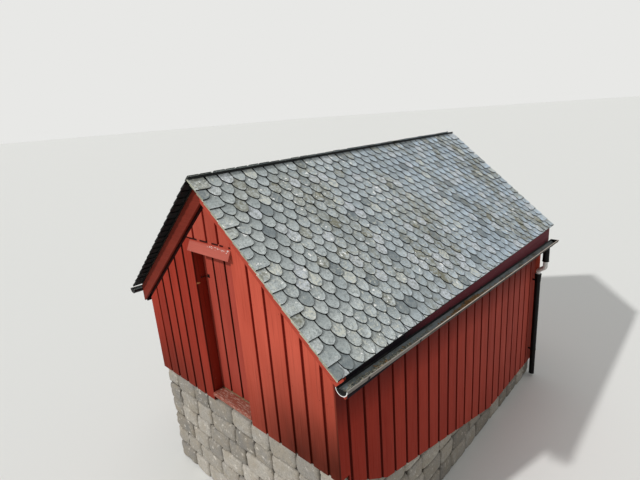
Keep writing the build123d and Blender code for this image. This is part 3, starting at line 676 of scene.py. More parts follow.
def core(node, outline, place, paint=painted_shade):
    """A wall's frame and back boards, painted dark as shade in the grooves and bare inside."""
    name = f"{node}_core"
    pile = Pile(name)
    depth = OUTER_Y - RELIEF - INNER_Y
    plank(pile, outline, place, -depth, 0, 0.0005, paints=(0, 1, 1))
    pile.build(name, [paint, timber], [node])


def under_deck(x):
    return roof_z(x, DECK_UNDER)


def under_barge(x):
    """Tops of the gable's boards."""
    return roof_z(x, BARGE_UNDER + (BARGE_SHADOW if x > 0 else BARGE_SHADOW_LEFT))


def barge_reach(z):
    """How far out the boards' tops reach a height."""
    return (under_barge(0) - z) / tan(PITCH)


def core_outline(x0, x1, foot):
    """Part of a gable's core, from its foot up to the roof boards."""
    point = [(0, under_deck(0))] if x0 < 0 < x1 else []
    return [(x0, foot), (x1, foot), (x1, under_deck(x1)), *point, (x0, under_deck(x0))]


def make_front_left():
    """The gable left of the doorway. Its last board is cut level under the top boards."""
    left = Pile(11)
    spans = board_spans([-HALF_WIDTH, *LEFT_GROOVES, 0])
    clad(left, on_front, spans[:1], level_foot(FRONT_FOOT), under_barge, edge=0)
    clad(left, on_front, spans[1:-1], level_foot(FRONT_FOOT), under_barge)
    x = LEFT_GROOVES[-1] + GROOVE / 2
    top_z = HEAD_BOARD_TOP + 0.008
    outline = [(x, FRONT_FOOT), (OPENING_LEFT, FRONT_FOOT), (OPENING_LEFT, top_z)]
    board(left, [*outline, (-barge_reach(top_z), top_z), (x, under_barge(x))], on_front)
    left.build("front_wall_left_boards", [red_left, board_edge])
    core("front_wall_left", core_outline(-CORE_X, LINING_LEFT, FRONT_FOOT), on_front)


def make_front_right():
    """The gable right of the doorway. Its first board reaches in over the doorway's edge."""
    right = Pile(13)
    spans = board_spans([0, *RIGHT_GROOVES, HALF_WIDTH])
    clad(right, on_front, spans[1:-1], level_foot(FRONT_FOOT), under_barge)
    clad(right, on_front, spans[-1:], level_foot(FRONT_FOOT), under_barge, edge=0)
    x = RIGHT_GROOVES[0] - GROOVE / 2
    outline = [(OPENING_RIGHT, FRONT_FOOT), (x, FRONT_FOOT), (x, under_barge(x))]
    outline += [(TOP_BOARDS_END, under_barge(TOP_BOARDS_END)), (TOP_BOARDS_END, HEAD_BOARD_TOP)]
    board(right, [*outline, (OPENING_RIGHT, HEAD_BOARD_TOP)], on_front)
    right.build("front_wall_right_boards", [red, edge_sunny])
    core("front_wall_right", core_outline(LINING_RIGHT, CORE_X, FRONT_FOOT), on_front, groove_sunny)


def make_front_top():
    """The boards over the doorway, and the one behind the drip board."""
    top = Pile(15)
    spans = board_spans([0.01 - barge_reach(TOP_BOARDS_FOOT), *TOP_GROOVES, TOP_BOARDS_END])
    clad(top, on_front, spans, level_foot(TOP_BOARDS_FOOT), under_barge, under_barge(0))
    head = rectangle(OPENING_LEFT, OPENING_HEAD, OPENING_RIGHT, HEAD_BOARD_TOP)
    plank(top, head, on_front, 0, RELIEF, along=False, paints=(0, 1, 1))
    # The joint over the drip board: black as painted shadow where it is open, painted over between
    drip_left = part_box("drip_board")[0].x
    joint_foot = HEAD_BOARD_TOP - 0.001
    joints = [(drip_left + start, drip_left + end) for start, end in DRIP_GAPS]
    for start, end in joints:
        gap = rectangle(start, joint_foot, end, TOP_BOARDS_FOOT + 0.001)
        plank(top, gap, on_front, 0, RELIEF - 0.004, 0.0005, along=False, paints=2)
    for (_, start), (end, _) in zip(joints, joints[1:]):
        fill = rectangle(start, joint_foot, end, TOP_BOARDS_FOOT + 0.004)
        plank(top, fill, on_front, 0, RELIEF - 0.0005, 0.001, along=False)
    top.build("front_wall_top_boards", [red_top, edge_top, painted_shade])
    outline = core_outline(LINING_LEFT, LINING_RIGHT, LINING_TOP)
    core("front_wall_top", outline, on_front, groove_top)


def make_back_wall():
    back = Pile(17)
    step = 2 * BACK_REACH / BACK_BOARD_COUNT
    spans = board_spans([-BACK_REACH + step * i for i in range(BACK_BOARD_COUNT + 1)])
    foot = level_foot(BACK_FOOT)
    clad(back, on_back, [spans[0], spans[-1]], foot, under_barge, edge=0)
    clad(back, on_back, spans[1:-1], foot, under_barge, under_barge(0))
    back.build("back_wall_boards", [red, board_edge])
    core("back_wall", core_outline(-CORE_X, CORE_X, BACK_FOOT), on_back)


def bank_foot(side):
    """Foot line of an eave wall's board, with the bank's bends."""

    def foot(start, end):
        y0, y1 = sorted((side * start, side * end))
        bends = [point for point in BANK if y0 < point[0] < y1]
        line = [(side * y, z) for y, z in [(y0, bank_z(y0)), *bends, (y1, bank_z(y1))]]
        return line[::side]

    return foot


def make_eave_walls():
    """Boards of even width, a little off their places, and the cores behind them."""
    wall_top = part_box("right_wall")[1].z - 0.002
    end = OUTER_Y - RELIEF
    shape = [*BANK[1:], (INNER_Y, BACK_FOOT)]
    shape += [(INNER_Y, wall_top), (-INNER_Y, wall_top)]
    for hand, side, boards in sided(19):
        place = facing_x(side * CORE_X, side, side)
        edges = [-end]
        while edges[-1] < end - EAVE_BOARD_WIDTH * 1.3:
            even = EAVE_FIRST_GROOVE + EAVE_BOARD_WIDTH * (len(edges) - 1)
            edges.append(even + boards.random.uniform(-0.006, 0.006))
        edges.append(end)
        if side < 0:
            edges = [-e for e in reversed(edges)]
        clad(boards, place, board_spans(edges), bank_foot(side), lambda a: wall_top)
        boards.build(f"{hand}_wall_boards", [red_side, edge_side])
        outline = [(side * a, b) for a, b in shape][::side]
        core(f"{hand}_wall", outline, place, groove_side)


# Roof
def scale_outline(width, length, drop, rng, steps=10):
    """A slate from its rounded tip at the origin up to its head."""
    outline = []
    for i in range(steps + 1):
        turn = pi * (i / steps - 0.5)
        a = copysign(abs(sin(turn)) ** 1.12, turn) * width / 2
        b = drop * (1 - abs(cos(turn)) ** 1.2)
        outline.append((a + rng.uniform(-0.002, 0.002), b + rng.uniform(-0.0025, 0.0025)))
    return outline + [(0.46 * width, length), (-0.46 * width, length)]


def verge_outline(width, length, level, rng):
    """A slate at the verge: square at the outer edge, rounded at its inner corner."""
    round_width = 0.055 if level else 0.8 * width
    round_drop = 0.035 if level else 0.075
    outline = [(0, rng.uniform(0, 0.006))]
    for i in range(6):
        turn = pi / 2 * i / 5
        a = width - round_width * (1 - sin(turn))
        b = round_drop * (1 - cos(turn))
        outline.append((a + rng.uniform(-0.001, 0.001), b + rng.uniform(-0.002, 0.002)))
    return outline + [(0.97 * width, length), (0, length)]


def lay(pile, outline, side, centre, tip, tilt=SLATE_TILT, top=0, turn=0, flip=1, back=1):
    """One slate on a slope, its tip down from the ridge and its face rising to it."""
    if flip < 0:
        outline = [(-a, b) for a, b in reversed(outline)]

    def place(a, b, h):
        across, up = turned(a, b, turn)
        return on_slope(side, centre + across, tip - up, h + top - tilt * b)

    plank(pile, outline, place, -SLATE_THICKNESS, 0, SLATE_CHAMFER, paints=(0, 1, back))


def lay_row(pile, side, row):
    """One row of scales between its two verge slates."""
    rng = pile.random
    tip = SLOPE_LENGTH - 0.006 - row * SLATE_GAUGE
    length = min(SLATE_LENGTH, tip - 0.010)
    first = 1.27 if row % 2 == 1 else 0.77
    columns = 2 * VERGE_Y / SLATE_PITCH
    whole = int(columns - first - 0.6)
    last = columns - first - whole
    for start, share, flip in ((-VERGE_Y, first, 1), (VERGE_Y, last, -1)):
        outline = verge_outline(share * SLATE_PITCH - 0.003, length, share > 1.1, rng)
        low = tip + rng.uniform(-0.005, 0.005)
        lay(pile, outline, side, start, low, top=-rng.uniform(0, 0.0015), flip=flip)
        if side > 0:
            # On the right its outer edge is painted pale as lit; on the left it stays dark as painted shade
            pile.paints[-1] = pile.paints[-1 - len(outline)] = 2
    for column in range(whole):
        centre = -VERGE_Y + (first + column + 0.5) * SLATE_PITCH + rng.uniform(-0.005, 0.005)
        drop = SCALE_DROP * rng.uniform(0.85, 1.12)
        outline = scale_outline(SLATE_PITCH * rng.uniform(0.94, 1), length, drop, rng)
        low = tip + rng.uniform(-0.010, 0.007)
        lay(pile, outline, side, centre, low, top=-rng.uniform(0, 0.002), turn=rng.gauss(0, 0.018))


def lay_eave(pile, side):
    """The straight course at the eave, under the first row."""
    y = -VERGE_Y
    while y < VERGE_Y - 0.01:
        width = SLATE_PITCH * pile.random.uniform(0.9, 1.3)
        if VERGE_Y - y - width < 0.06:
            width = VERGE_Y - y
        outline = rectangle(0.001, 0, width - 0.001, 0.2)
        lay(pile, outline, side, y, SLOPE_LENGTH, EAVE_SLATE_TILT, -SLATE_THICKNESS)
        # On the right the first slate's outer edge is painted pale as lit
        if side > 0 and y == -VERGE_Y:
            pile.paints[-1] = pile.paints[-5] = 2
        y += width


def lay_comb(pile):
    """The left slope's top course, whose heads stand up past the ridge as a comb."""
    rng = pile.random
    # Bedding in the gap between the comb and the right slope's heads, painted near black as shade
    bed = [(0.060, -SLATE_BED), (0.004, -SLATE_BED), (-0.012, -0.0125), (0.060, -0.0125)]
    place = lambda a, b, h: on_slope(-1, h, a, b)
    plank(pile, bed[::-1], place, -VERGE_Y + 0.01, VERGE_Y - 0.01, 0.0005, paints=1)
    y = -VERGE_Y
    while y < VERGE_Y - COMB_END:
        width = SLATE_PITCH * rng.uniform(0.85, 1.1)
        head = COMB_FOOT + COMB_HEIGHT * rng.uniform(0.66, 1)
        half = width / 2 - rng.uniform(0.001, 0.006)
        top = half * rng.uniform(0.74, 0.96)
        outline = [(-half, 0.02), (0, 0), (half, 0.02), (half, head - rng.uniform(0.008, 0.02))]
        outline += [(top, head), (-top, head), (-half, head - rng.uniform(0.008, 0.02))]
        # Its back takes the comb's painted shade
        lay(pile, outline, -1, y + width / 2, COMB_FOOT, 0, -rng.uniform(0.0005, 0.002), back=3)
        y += width
    end = rectangle(-0.02, 0, 0.02, COMB_FOOT + COMB_HEIGHT)
    lay(pile, end, -1, VERGE_Y - COMB_END + 0.02, COMB_FOOT, 0, -0.001)
    # Past the comb the heads are level with the ridge
    half = (VERGE_Y - y) / 4
    low = half - 0.003
    head = COMB_FOOT - 0.004
    for centre in (y + half, y + 3 * half):
        outline = [(-low, 0.015), (0, 0), (low, 0.015), (low, head), (-low, head)]
        lay(pile, outline, -1, centre, COMB_FOOT, 0, -rng.uniform(0.0005, 0.002))


def make_slates():
    """Each slope's slates, with the comb on the left one."""
    for hand, side, pile in sided(35):
        lay_eave(pile, side)
        for row in range(SLATE_ROWS):
            lay_row(pile, side, row)
        if side < 0:
            lay_comb(pile)
        finishes = [slate, slate_edge, slate_verge, slate_comb]
        pile.build(f"{hand}_slates_laid", finishes, [f"{hand}_slates"], "slate", smooth=35)


def make_deck():
    """Roof boarding, boards laid along the house."""
    deck_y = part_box("right_roof_deck")[1].y
    end = FASCIA_X / cos(PITCH)
    for hand, side, pile in sided(31):
        place = lambda a, b, h: on_slope(side, a, b, h)
        down = DECK_UNDER * tan(PITCH)
        while down < end - 0.02:
            outline = rectangle(-deck_y, down, deck_y, min(down + DECK_BOARD_WIDTH, end) - 0.003)
            # Their ends and edges take the deck edge's painted shade
            plank(pile, outline, place, -DECK_UNDER, -SLATE_BED, 0.001, False, (0, 1, 0))
            down += DECK_BOARD_WIDTH
        pile.build(f"{hand}_deck_boards", [timber, deck_edge], [f"{hand}_roof_deck"], "bare_timber")


# Footing
def make_stone(pile, low, high, limit, steps=6):
    """A rounded rough stone between two corners, its top kept just below limit(y)."""
    rng = pile.random
    half = [(h - l) / 2 for l, h in zip(low, high)]
    centre = [(h + l) / 2 for l, h in zip(low, high)]
    seed = Vector([rng.uniform(0, 90) for _ in range(3)])
    index, points, faces = {}, [], []

    def corner(*cell):
        if cell not in index:
            p = Vector([2 * c / steps - 1 for c in cell])
            p /= sum(abs(v) ** STONE_SQUARENESS for v in p) ** (1 / STONE_SQUARENESS)
            rough = Vector()
            for fineness, depth in STONE_ROUGHNESS:
                rough += noise.noise_vector(p * fineness + seed) * depth
            place = [c + h * max(-1, min(1, v + r)) for c, h, v, r in zip(centre, half, p, rough)]
            place[2] = max(0, min(place[2], limit(place[1]) - 0.001))
            index[cell] = len(points)
            points.append(tuple(place))
        return index[cell]

    for axis, level, i, j in product(range(3), (0, steps), range(steps), range(steps)):
        cells = [list(cell) for cell in rectangle(i, j, i + 1, j + 1)]
        for cell in cells:
            cell.insert(axis, level)
        faces.append([corner(*cell) for cell in cells])
    pile.add(points, faces, [0] * len(faces), points, [p[2] for p in points])


def stone_cells(outer, thickness, course, has_corners):
    """Starts, ends and depths of a course's stones along a face, as the frame's footing has them."""
    reach = outer if has_corners else outer - thickness
    ends = [-reach]
    number = course
    while True:
        place = ends[-1] + STONE_SHARES[number % len(STONE_SHARES)] * STONE_LENGTH
        if place > reach - STONE_LENGTH / 2:
            break
        ends.append(place)
        number += 1
    ends.append(reach)
    last = len(ends) - 2
    cells = []
    for i, (start, end) in enumerate(zip(ends, ends[1:])):
        deep = thickness if has_corners and i in (0, last) else STONE_DEPTH
        cells.append((start + JOINT / 2, end - JOINT / 2, deep))
    return cells


def make_footing():
    """Courses of stones round the house, up to the walls' feet."""
    low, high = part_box("right_footing")
    outer_x, inner_x, outer_y = high.x, low.x, -low.y
    thick = outer_x - inner_x
    inner_y = outer_y - thick
    gables = (("front", -1, FRONT_FOOT), ("back", 1, BACK_FOOT))
    rise = (FRONT_FOOT - BACK_FOOT) / (COURSES - 1)
    tops = [BACK_FOOT + i * rise for i in range(COURSES)]
    piles = {name: Pile(42 + i) for i, name in enumerate(("left", "right", "front", "back"))}
    for course, (foot, top) in enumerate(zip([0, *tops], tops)):
        gables_have_corners = course % 2 == 0
        top -= JOINT / 2
        foot += JOINT / 2 if course else 0
        for hand, side in SIDES.items():
            for start, end, deep in stone_cells(outer_y, thick, course, not gables_have_corners):
                x0, x1 = sorted((side * (outer_x - deep), side * outer_x))
                if bank_z(start) > foot + LOWEST_STONE:
                    make_stone(piles[hand], (x0, start, foot), (x1, end, top), bank_z)
        for name, facing, height in gables:
            for start, end, deep in stone_cells(outer_x, thick, course, gables_have_corners):
                y0, y1 = sorted((facing * (outer_y - deep), facing * outer_y))
                if foot < height - LOWEST_STONE:
                    make_stone(piles[name], (start, y0, foot), (end, y1, top), lambda y: height)

    # The stones that carry the threshold
    sill_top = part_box("front_footing")[1].z
    sill_step = (OPENING_RIGHT - OPENING_LEFT) / SILL_STONES
    for i in range(SILL_STONES):
        x = OPENING_LEFT + i * sill_step
        low_corner = (x + 0.003, -OUTER_Y + 0.060, FRONT_FOOT)
        high_corner = (x + sill_step - 0.003, -INNER_Y, sill_top)
        make_stone(piles["front"], low_corner, high_corner, lambda y: sill_top + 0.001)

    # Packing behind the stones, seen only in their joints
    face_x, face_y = outer_x - PACKING_SETBACK, outer_y - PACKING_SETBACK
    outline = [(-face_y, 0), (face_y, 0), (face_y, BACK_FOOT - PACKING_DROP)]
    outline += [(y, z - PACKING_DROP) for y, z in (BANK[3], BANK[2], BANK[1])]
    outline.append((-face_y, BANK[1][1] - PACKING_DROP))
    for hand, side in SIDES.items():
        plank(piles[hand], outline, facing_x(side * inner_x, side), 0, face_x - inner_x, paints=1)
    for name, facing, height in gables:
        outline = rectangle(-inner_x, 0, inner_x, height - PACKING_DROP)
        place = facing_y(facing * inner_y, facing)
        plank(piles[name], outline, place, 0, face_y - inner_y, paints=1)
    for name, pile in piles.items():
        pile.build(f"{name}_footing_stones", [stone, packing], [f"{name}_footing"], "dry_stone", smooth=60)


# Trim and joinery
def make_bargeboards():
    """Each with the fillet behind it, and painted shade in the gaps under and over it."""
    foot = lambda x: roof_z(x, BARGE_UNDER)
    foot_nail = lambda x: roof_z(x, BARGE_UNDER - NAIL_MARGIN)
    for end, facing, reach in (("front", -1, HALF_WIDTH), ("back", 1, BACK_REACH)):
        for hand, side in SIDES.items():
            node = f"{end}_{hand}_bargeboard"
            pile = Pile(51 + facing + 3 * side)
            low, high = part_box(node)
            depth = high.y - low.y
            place = facing_y(low.y if facing > 0 else high.y, facing, side)
            plank(pile, band(BARGE_MITRE, FASCIA_X, foot, under_deck), place, 0, depth, along=False)
            # The fillet that it is nailed to, above the boards' tops, painted dark as shade
            fillet = band(0, reach, lambda x: foot(x) + 0.01, under_deck)
            plank(pile, fillet, place, -RELIEF, 0, 0.001, along=False, paints=1)
            if node == "front_left_bargeboard":
                # Painted shadow: a black band in the gap over the boards
                gap = band(0, reach, lambda x: foot(x) - 0.040, foot)
                plank(pile, gap, place, -RELIEF, -RELIEF / 2, 0.001, along=False, paints=1)
            # Painted shade under the roof boards' ends
            strip_foot, strip_top = (lambda x, d=d: under_deck(x) - d for d in (0.002, 0.0002))
            strip = band(BARGE_MITRE, FASCIA_X, strip_foot, strip_top)
            plank(pile, strip, place, depth, depth + 0.0095, 0.0002, along=False, paints=1)
            spots = []
            for a in BARGE_NAILS:
                spots += [(a, foot_nail(a)), (a + 0.02, roof_z(a, DECK_UNDER + NAIL_MARGIN))]
            nails(pile, place, spots, depth)
            # The front right bargeboard takes the lit copy, the others the trim darkened as painted shade
            paint = red_trim_sunny if node == "front_right_bargeboard" else red_trim
            pile.build(f"{node}_dressed", [paint, painted_shade], [node])


def make_fascias():
    for hand, side, pile in sided(61):
        node = f"{hand}_fascia"
        low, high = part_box(node)
        place = facing_x(low.x if side > 0 else high.x, side)
        outline = rectangle(low.y, low.z, high.y, high.z - 0.02)
        plank(pile, outline, place, 0, high.x - low.x, along=False)
        pile.build(f"{node}_dressed", [fascia_red], [node])


def make_drip_board():
    """The slanting board over the door, its paint flaked along the right half's top edge."""
    low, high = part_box("drip_board")
    slant = atan2(high.y - low.y, high.z - low.z)
    width = hypot(high.y - low.y, high.z - low.z)
    pile = Pile(66)

    def place(a, b, h):
        y = high.y - b * sin(slant) - h * cos(slant)
        return a, y, high.z - b * cos(slant) + h * sin(slant)

    outline = rectangle(low.x, 0.012, high.x, width - 0.004)
    plank(pile, outline, place, -0.022, -0.001, along=False)
    nails(pile, place, [(low.x + 0.05 + 0.17 * i, 0.03) for i in range(5)], -0.001)
    for _ in range(30):
        a = pile.random.uniform(low.x + 0.48 * (high.x - low.x), high.x - 0.015)
        b = min(0.050, 0.019 + abs(pile.random.gauss(0, 0.012)))
        size = pile.random.uniform(0.002, 0.006)
        flake = [(a + (x - a) * pile.random.uniform(0.6, 1.4), y) for x, y in circle(size, 7, a, b)]
        plank(pile, flake, place, -0.003, -0.0006, 0.0002, paints=1)
    pile.build("drip_board_dressed", [drip_red, white_pipe], ["drip_board"], "worn_red_wood")


def make_threshold():
    low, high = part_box("threshold")
    pile = Pile(67)
    plank(pile, rectangle(low.x, low.y, high.x, high.y), facing_up, low.z, high.z, 0.006, along=False)
    pile.build("threshold_dressed", [sill_red], ["threshold"], "worn_red_wood")


def make_door():
    """Door leaf of upright boards on a backing."""
    low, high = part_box("door_leaf")
    ledge_low, ledge_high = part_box("door_ledges")
    pile = Pile(71)
    face = low.y + RELIEF
    place = facing_y(face, -1)
    for start, end in board_spans([low.x, *DOOR_GROOVES, high.x], DOOR_GROOVE):
        front = RELIEF - pile.random.uniform(0, 0.001)
        plank(pile, rectangle(start, low.z, end, high.z), place, 0, front, paints=(0, 3, 3))
        rows = (ledge_low.z + 0.03, ledge_low.z + 0.09, ledge_high.z - 0.09, ledge_high.z - 0.03)
        nail_rows(pile, place, rows, start, end)
    back = rectangle(low.x, low.z, high.x, high.z)
    plank(pile, back, place, face - high.y, 0, 0.0005, paints=(1, 1, 2))
    # The grooves and the boards' edges in them take painted shade
    finishes = [red_door, painted_shade, timber, board_edge]
    pile.build("door_leaf_boards", finishes, ["door_leaf"], body="door")


def make_floor():
    """Floor boards along the house."""
    low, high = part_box("floor")
    pile = Pile(75)
    x = low.x
    while x < high.x - 0.02:
        outline = rectangle(x, low.y, min(x + FLOOR_BOARD_WIDTH, high.x) - 0.003, high.y)
        plank(pile, outline, facing_up, low.z, high.z, 0.002)
        x += FLOOR_BOARD_WIDTH
    pile.build("floor_boards", [timber], ["floor"], "bare_timber")


def rod(name, points, radius, body, replaces=()):
    """A bent round iron bar through points."""
    curve = bpy.data.curves.new(name, "CURVE")
    curve.dimensions = "3D"
    curve.bevel_depth = radius
    curve.bevel_resolution = 4
    curve.use_fill_caps = True
    line = curve.splines.new("NURBS")
    line.points.add(len(points) - 1)
    for point, place in zip(line.points, points):
        point.co = (*place, 1)
    line.order_u = 3
    line.use_endpoint_u = True
    line.resolution_u = 8
    curve.materials.append(forged_iron)
    enter(add_object(name, curve), body, replaces)


def make_hook():
    """Hook on the left jamb with the screw eye that it turns in."""
    low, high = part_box("door_hook")
    x, y0, y1, z = high.x - 0.004, low.y + 0.009, high.y - 0.004, high.z - 0.009
    points = [(OPENING_LEFT, y0, z), (x - 0.004, y0, z), (x, y0, z), (x, y0 + 0.01, z)]
    points += [(x, y1 - 0.012, z), (x, y1, z), (x, y1, z - 0.012), (x, y1, low.z)]
    rod("door_hook_bar", points, 0.0036, "house", ["door_hook"])
    eye = [(x + 0.0035, y0 + a, z + b) for a, b in circle(0.0066, 8)]
    rod("door_hook_eye", [*eye, eye[0]], 0.0024, "house")


def make_staple():
    """Staple on the leaf: a bow on a nailed plate."""
    low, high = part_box("door_staple")
    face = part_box("door_leaf")[0].y
    z = (low.z + high.z) / 2
    x0, x1, bow = low.x + 0.011, high.x - 0.011, low.y + 0.0035
    points = [(x0, face, z), (x0, bow + 0.006, z), (x0, bow, z), ((x0 + x1) / 2, bow, z)]
    points += [(x1, bow, z), (x1, bow + 0.006, z), (x1, face, z)]
    rod("door_staple_bow", points, 0.0032, "door")
    plate = Pile(77)
    place = facing_y(face, -1)
    plank(plate, rectangle(low.x, low.z, high.x, high.z), place, 0, 0.003, 0.0008)
    spots = [(a, b) for a in (low.x + 0.006, high.x - 0.006) for b in (low.z + 0.007, high.z - 0.007)]
    nails(plate, place, spots, 0.003, 0.003)
    plate.build("door_staple_plate", [forged_iron], ["door_staple"], "forged_iron", "door")


def make_chip():
    """Bare wood where the left jamb's front arris is chipped."""
    chip = Pile(78)
    outline = [(a - OUTER_Y, b) for a, b in CHIP]
    plank(chip, outline, facing_x(OPENING_LEFT, 1), -0.002, 0.0007, 0.0002)
    chip.build("left_jamb_chip", [chipped_wood], slot="worn_red_wood")


# Gutters
def gutter_profile(steps):
    """Outwards, up and the paint of each point round a gutter's section."""
    # The wall by the house is painted black as shade
    arcs = [(0, GUTTER_INNER_R, pi * (1 + i / steps), int(i > 1)) for i in range(steps + 1)]
    arcs += [(GUTTER_R - GUTTER_BEAD, GUTTER_BEAD, pi * (1 - i / 6), 2) for i in range(7)]
    # The top of its outside is painted grey under the rim as painted light
    arcs += [(0, GUTTER_R, -pi * i / steps, 3 if i < 7 else 0) for i in range(steps + 1)]
    return [(start + r * cos(t), r * sin(t), paint) for start, r, t, paint in arcs]


def make_gutters():
    """Half-round gutters with a rolled outer rim painted pale as a highlight, paler and grimy inside."""
    steps, stations = 16, 24
    profile = gutter_profile(steps)
    count = len(profile)
    length = 2 * VERGE_Y - 2 * CAP_THICKNESS
    for hand, side, pile in sided(81):
        points, faces, paints, grain = [], [], [], []
        for s in range(stations + 1):
            y = -VERGE_Y + CAP_THICKNESS + length * s / stations
            points += [(side * (GUTTER_X + out), y, rim_z(y) + up) for out, up, _ in profile]
            grain += [(y, out, up) for out, up, _ in profile]
        for s, i in product(range(stations), range(count)):
            a, b, j = s * count, (s + 1) * count, (i + 1) % count
            faces.append([a + i, a + j, b + j, b + i])
            paints.append(profile[i][2] if profile[i][2] == profile[j][2] else 0)
        for a in (0, stations * count):
            for i in range(steps):
                faces.append([a + i, a + i + 1, a + count - 2 - i, a + count - 1 - i])
            faces.append([a + k for k in range(steps, steps + 9)])
            paints += [0] * (steps + 1)
        pile.add(points, faces, paints, grain, [0] * len(points))
        finishes = [gutter_outside, gutter_inside, gutter_rim, gutter_face]
        pile.build(f"{hand}_gutter_trough", finishes, [f"{hand}_gutter"], "gutter_steel", smooth=40)


def make_gutter_caps():
    """End caps: black half discs with a pale lip round their edge, painted as a highlight."""
    pile = Pile(83)
    radius, lip = GUTTER_R + 0.003, 0.008
    turns = [pi * (1 + i / 18) for i in range(19)]
    for side in SIDES.values():
        for y, facing in ((-VERGE_Y, -1), (VERGE_Y, 1)):
            place = lambda a, b, h: (side * GUTTER_X + a, y - facing * (CAP_THICKNESS - h), rim_z(y) + b)
            disc = [((radius - 0.002) * cos(t), (radius - 0.002) * sin(t)) for t in turns]
            plank(pile, disc, place, 0, CAP_THICKNESS - 0.001, 0.0004)
            for i, (t0, t1) in enumerate(zip(turns, turns[1:])):
                corners = ((radius, t0), (radius, t1), (radius - lip, t1), (radius - lip, t0))
                ring = [(r * cos(t), r * sin(t)) for r, t in corners]
                # The lip is pale as a painted highlight; on the left only a little of it
                paint = 1 if side > 0 or i in (7, 8) else 0
                plank(pile, ring, place, 0, CAP_THICKNESS, 0.0001, paints=paint)
    pile.build("gutter_caps_dressed", [black_pipe, white_pipe], ["gutter_caps"], "gutter_steel", smooth=40)


def lay_litter(pile, side):
    """One leaf or grain of grit, lying on the drift in a trough."""
    rng = pile.random
    low, high = LITTER_ENDS
    drifts = (rng.uniform(low, 2.6), rng.gauss(*GRIT_DRIFT), rng.gauss(*GRIT_DRIFT), rng.gauss(*LEAF_DRIFT))
    y = max(low, min(high, rng.choice(drifts)))
    grit = y < GRIT_END and rng.random() < GRIT_SHARE
    # The leaves lie deepest near the middle, the grit near the front
    leaf_depth = 0.036 * exp(-(((y + 0.5) / 0.4) ** 2))
    depth = 0.004 + leaf_depth + 0.026 * exp(-(((y + 2.3) / 0.9) ** 2))
    length, width = rng.uniform(0.010, 0.045), rng.uniform(0.005, 0.018)
    if grit:
        length, width = rng.uniform(0.007, 0.018), rng.uniform(0.006, 0.014)
    outermost = GUTTER_R - GUTTER_BEAD - length / 2
    out = max(-0.032, min(outermost, rng.gauss(0.006, 0.015 + 0.4 * depth)))
    trough = sqrt(GUTTER_INNER_R ** 2 - out * out)
    bed = rim_z(y) - min(trough - 0.001, GUTTER_INNER_R - depth * rng.uniform(0.2, 1))
    turn = rng.uniform(0, pi)
    leaf = [(-length / 2, 0), (-length / 5, -width / 2), (length / 4, -width / 2), (length / 2, 0)]
    leaf += [(length / 4, width / 2), (-length / 5, width / 2)]
    lean = out / GUTTER_R

    def place(a, b, h):
        along, across = turned(a, b, turn)
        return side * (GUTTER_X + out + across), y + along, bed + h + lean * across

    plank(pile, leaf, place, 0, 0.0015, 0.0003, along=False, paints=int(grit))


def make_litter():
    for hand, side, pile in sided(85):
        for _ in range(LITTER_COUNT):
            lay_litter(pile, side)
        pile.build(f"{hand}_gutter_litter", [leaf_litter, gutter_grit], slot="gutter_steel")


def make_collars():
    """Rims on the outlets' lower ends and on the pipes' sockets."""
    pile = Pile(89)
    outlet_low, outlet_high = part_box("gutter_outlets")
    pipe_low, pipe_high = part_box("downpipes")
    outlet = (GUTTER_X, (outlet_low.y + outlet_high.y) / 2, outlet_low.z, 0.054)
    socket = (pipe_high.x - 0.052, (pipe_low.y + pipe_high.y) / 2, pipe_high.z - 0.012, 0.056)
    for side in SIDES.values():
        for x, y, z, radius in (outlet, socket):
            place = lambda a, b, h: (side * x + a, y + b, z + h)
            plank(pile, circle(radius), place, 0, 0.012, 0.002)
    pile.build("pipe_collars", [black_pipe], slot="black_pipe", smooth=50)


# Nodes that keep their shape
def dress(node, finish, bevel, smooth=30):
    """A CAD node gets a finish and soft edges."""
    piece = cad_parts[node]
    piece.data.materials.clear()
    piece.data.materials.append(finish)
    soften(piece.data, smooth)
    if bevel:
        weld = piece.modifiers.new("weld", "WELD")
        weld.merge_threshold = 0.00005
        edge = piece.modifiers.new("edge", "BEVEL")
        edge.width = bevel
        edge.segments = 2
        edge.limit_method = "ANGLE"
        edge.angle_limit = radians(40)


def dress_nodes():
    """Each finish and bevel with its nodes."""
    dressed = (
        (reveal_paint, 0.002, ("left_jamb", "right_jamb", "door_head")),
        (timber_along["x"], 0.002, ("rafters", "collars")),
        (timber_along["y"], 0.002, ("ridge_board",)),
        (timber_along["z"], 0.003, ("hinge_post", "door_brace")),
        (timber_along["x"], 0.003, ("door_ledges",)),
        (forged_iron, 0.0006, ("hinge_straps", "hinge_pintles")),
        (gutter_outside, 0, ("gutter_brackets",)),
        (black_pipe, 0, ("gutter_outlets", "downpipes", "downpipe_clips")),
        (white_pipe, 0, ("downpipe_bends",)),
    )
    for finish, bevel, nodes in dressed:
        for node in nodes:
            dress(node, finish, bevel)


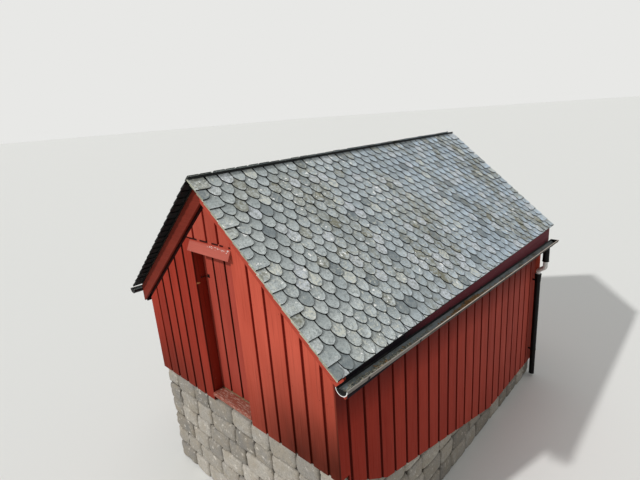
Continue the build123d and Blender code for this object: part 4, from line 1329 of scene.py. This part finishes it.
# Stage
def make_stage_floor():
    size = 400
    mesh = bpy.data.meshes.new("stage_floor")
    corners = [(x, y, 0) for x, y in rectangle(-size, -size, size, size)]
    mesh.from_pydata(corners, [], [[0, 1, 2, 3]])
    floor = add_object("stage_floor", mesh)
    f = Finish("stage_floor", 0.9)
    f.shader["Base Color"].default_value = rgb(222, 222, 218)
    mesh.materials.append(f.owner)


def make_sky():
    """Soft blue-white light, with a plain pale backdrop where the sky itself is seen."""
    world = bpy.data.worlds.new("sky")
    bpy.context.scene.world = world
    sky = Nodes(world)
    light = sky.tree.nodes["Background"]
    light.inputs["Color"].default_value = (0.96, 0.98, 1, 1)
    light.inputs["Strength"].default_value = 0.32
    backdrop = sky.node("Background", [("Color", rgb(232, 232, 230))])
    rays = sky.node("LightPath").outputs
    share = rays["Is Camera Ray"]
    for ray in ("Is Glossy Ray", "Is Transmission Ray"):
        share = sky.node("Math", enumerate((share, rays[ray])), use_clamp=True).outputs[0]
    both = sky.node("MixShader", enumerate((share, light.outputs[0], backdrop.outputs[0])))
    sky.feed(sky.tree.nodes["World Output"].inputs["Surface"], both.outputs[0])


def make_lights():
    """A sun, and soft light from above."""
    suns = (("sun", 2.35, 2, (-0.2, -0.77, 0.6)), ("top_light", 0.72, 50, (0, 0, 1)))
    for name, strength, spread, direction in suns:
        lamp = bpy.data.lights.new(name, "SUN")
        lamp.energy = strength
        lamp.angle = radians(spread)
        sun = add_object(name, lamp)
        sun.rotation_euler = Vector(direction).to_track_quat("Z", "Y").to_euler()


def make_camera():
    """The photograph's camera, as fitted to it."""
    camera = bpy.data.cameras.new("camera")
    camera.lens = 24.64
    camera.sensor_width = 36
    camera.clip_end = 1500
    view = add_object("camera", camera)
    view.location = (4.0307, -5.1228, 4.9700)
    view.rotation_euler = [radians(v) for v in (73.823, 4.147, 42.975)]
    bpy.context.scene.camera = view


bpy.context.scene.view_settings.view_transform = "Standard"
make_stage_floor()
make_sky()
make_lights()
make_camera()
make_front_left()
make_front_right()
make_front_top()
make_back_wall()
make_eave_walls()
make_deck()
make_slates()
make_footing()
make_bargeboards()
make_fascias()
make_drip_board()
make_threshold()
make_door()
make_floor()
make_hook()
make_staple()
make_chip()
make_gutters()
make_gutter_caps()
make_litter()
make_collars()
dress_nodes()

bpy.context.view_layer.update()
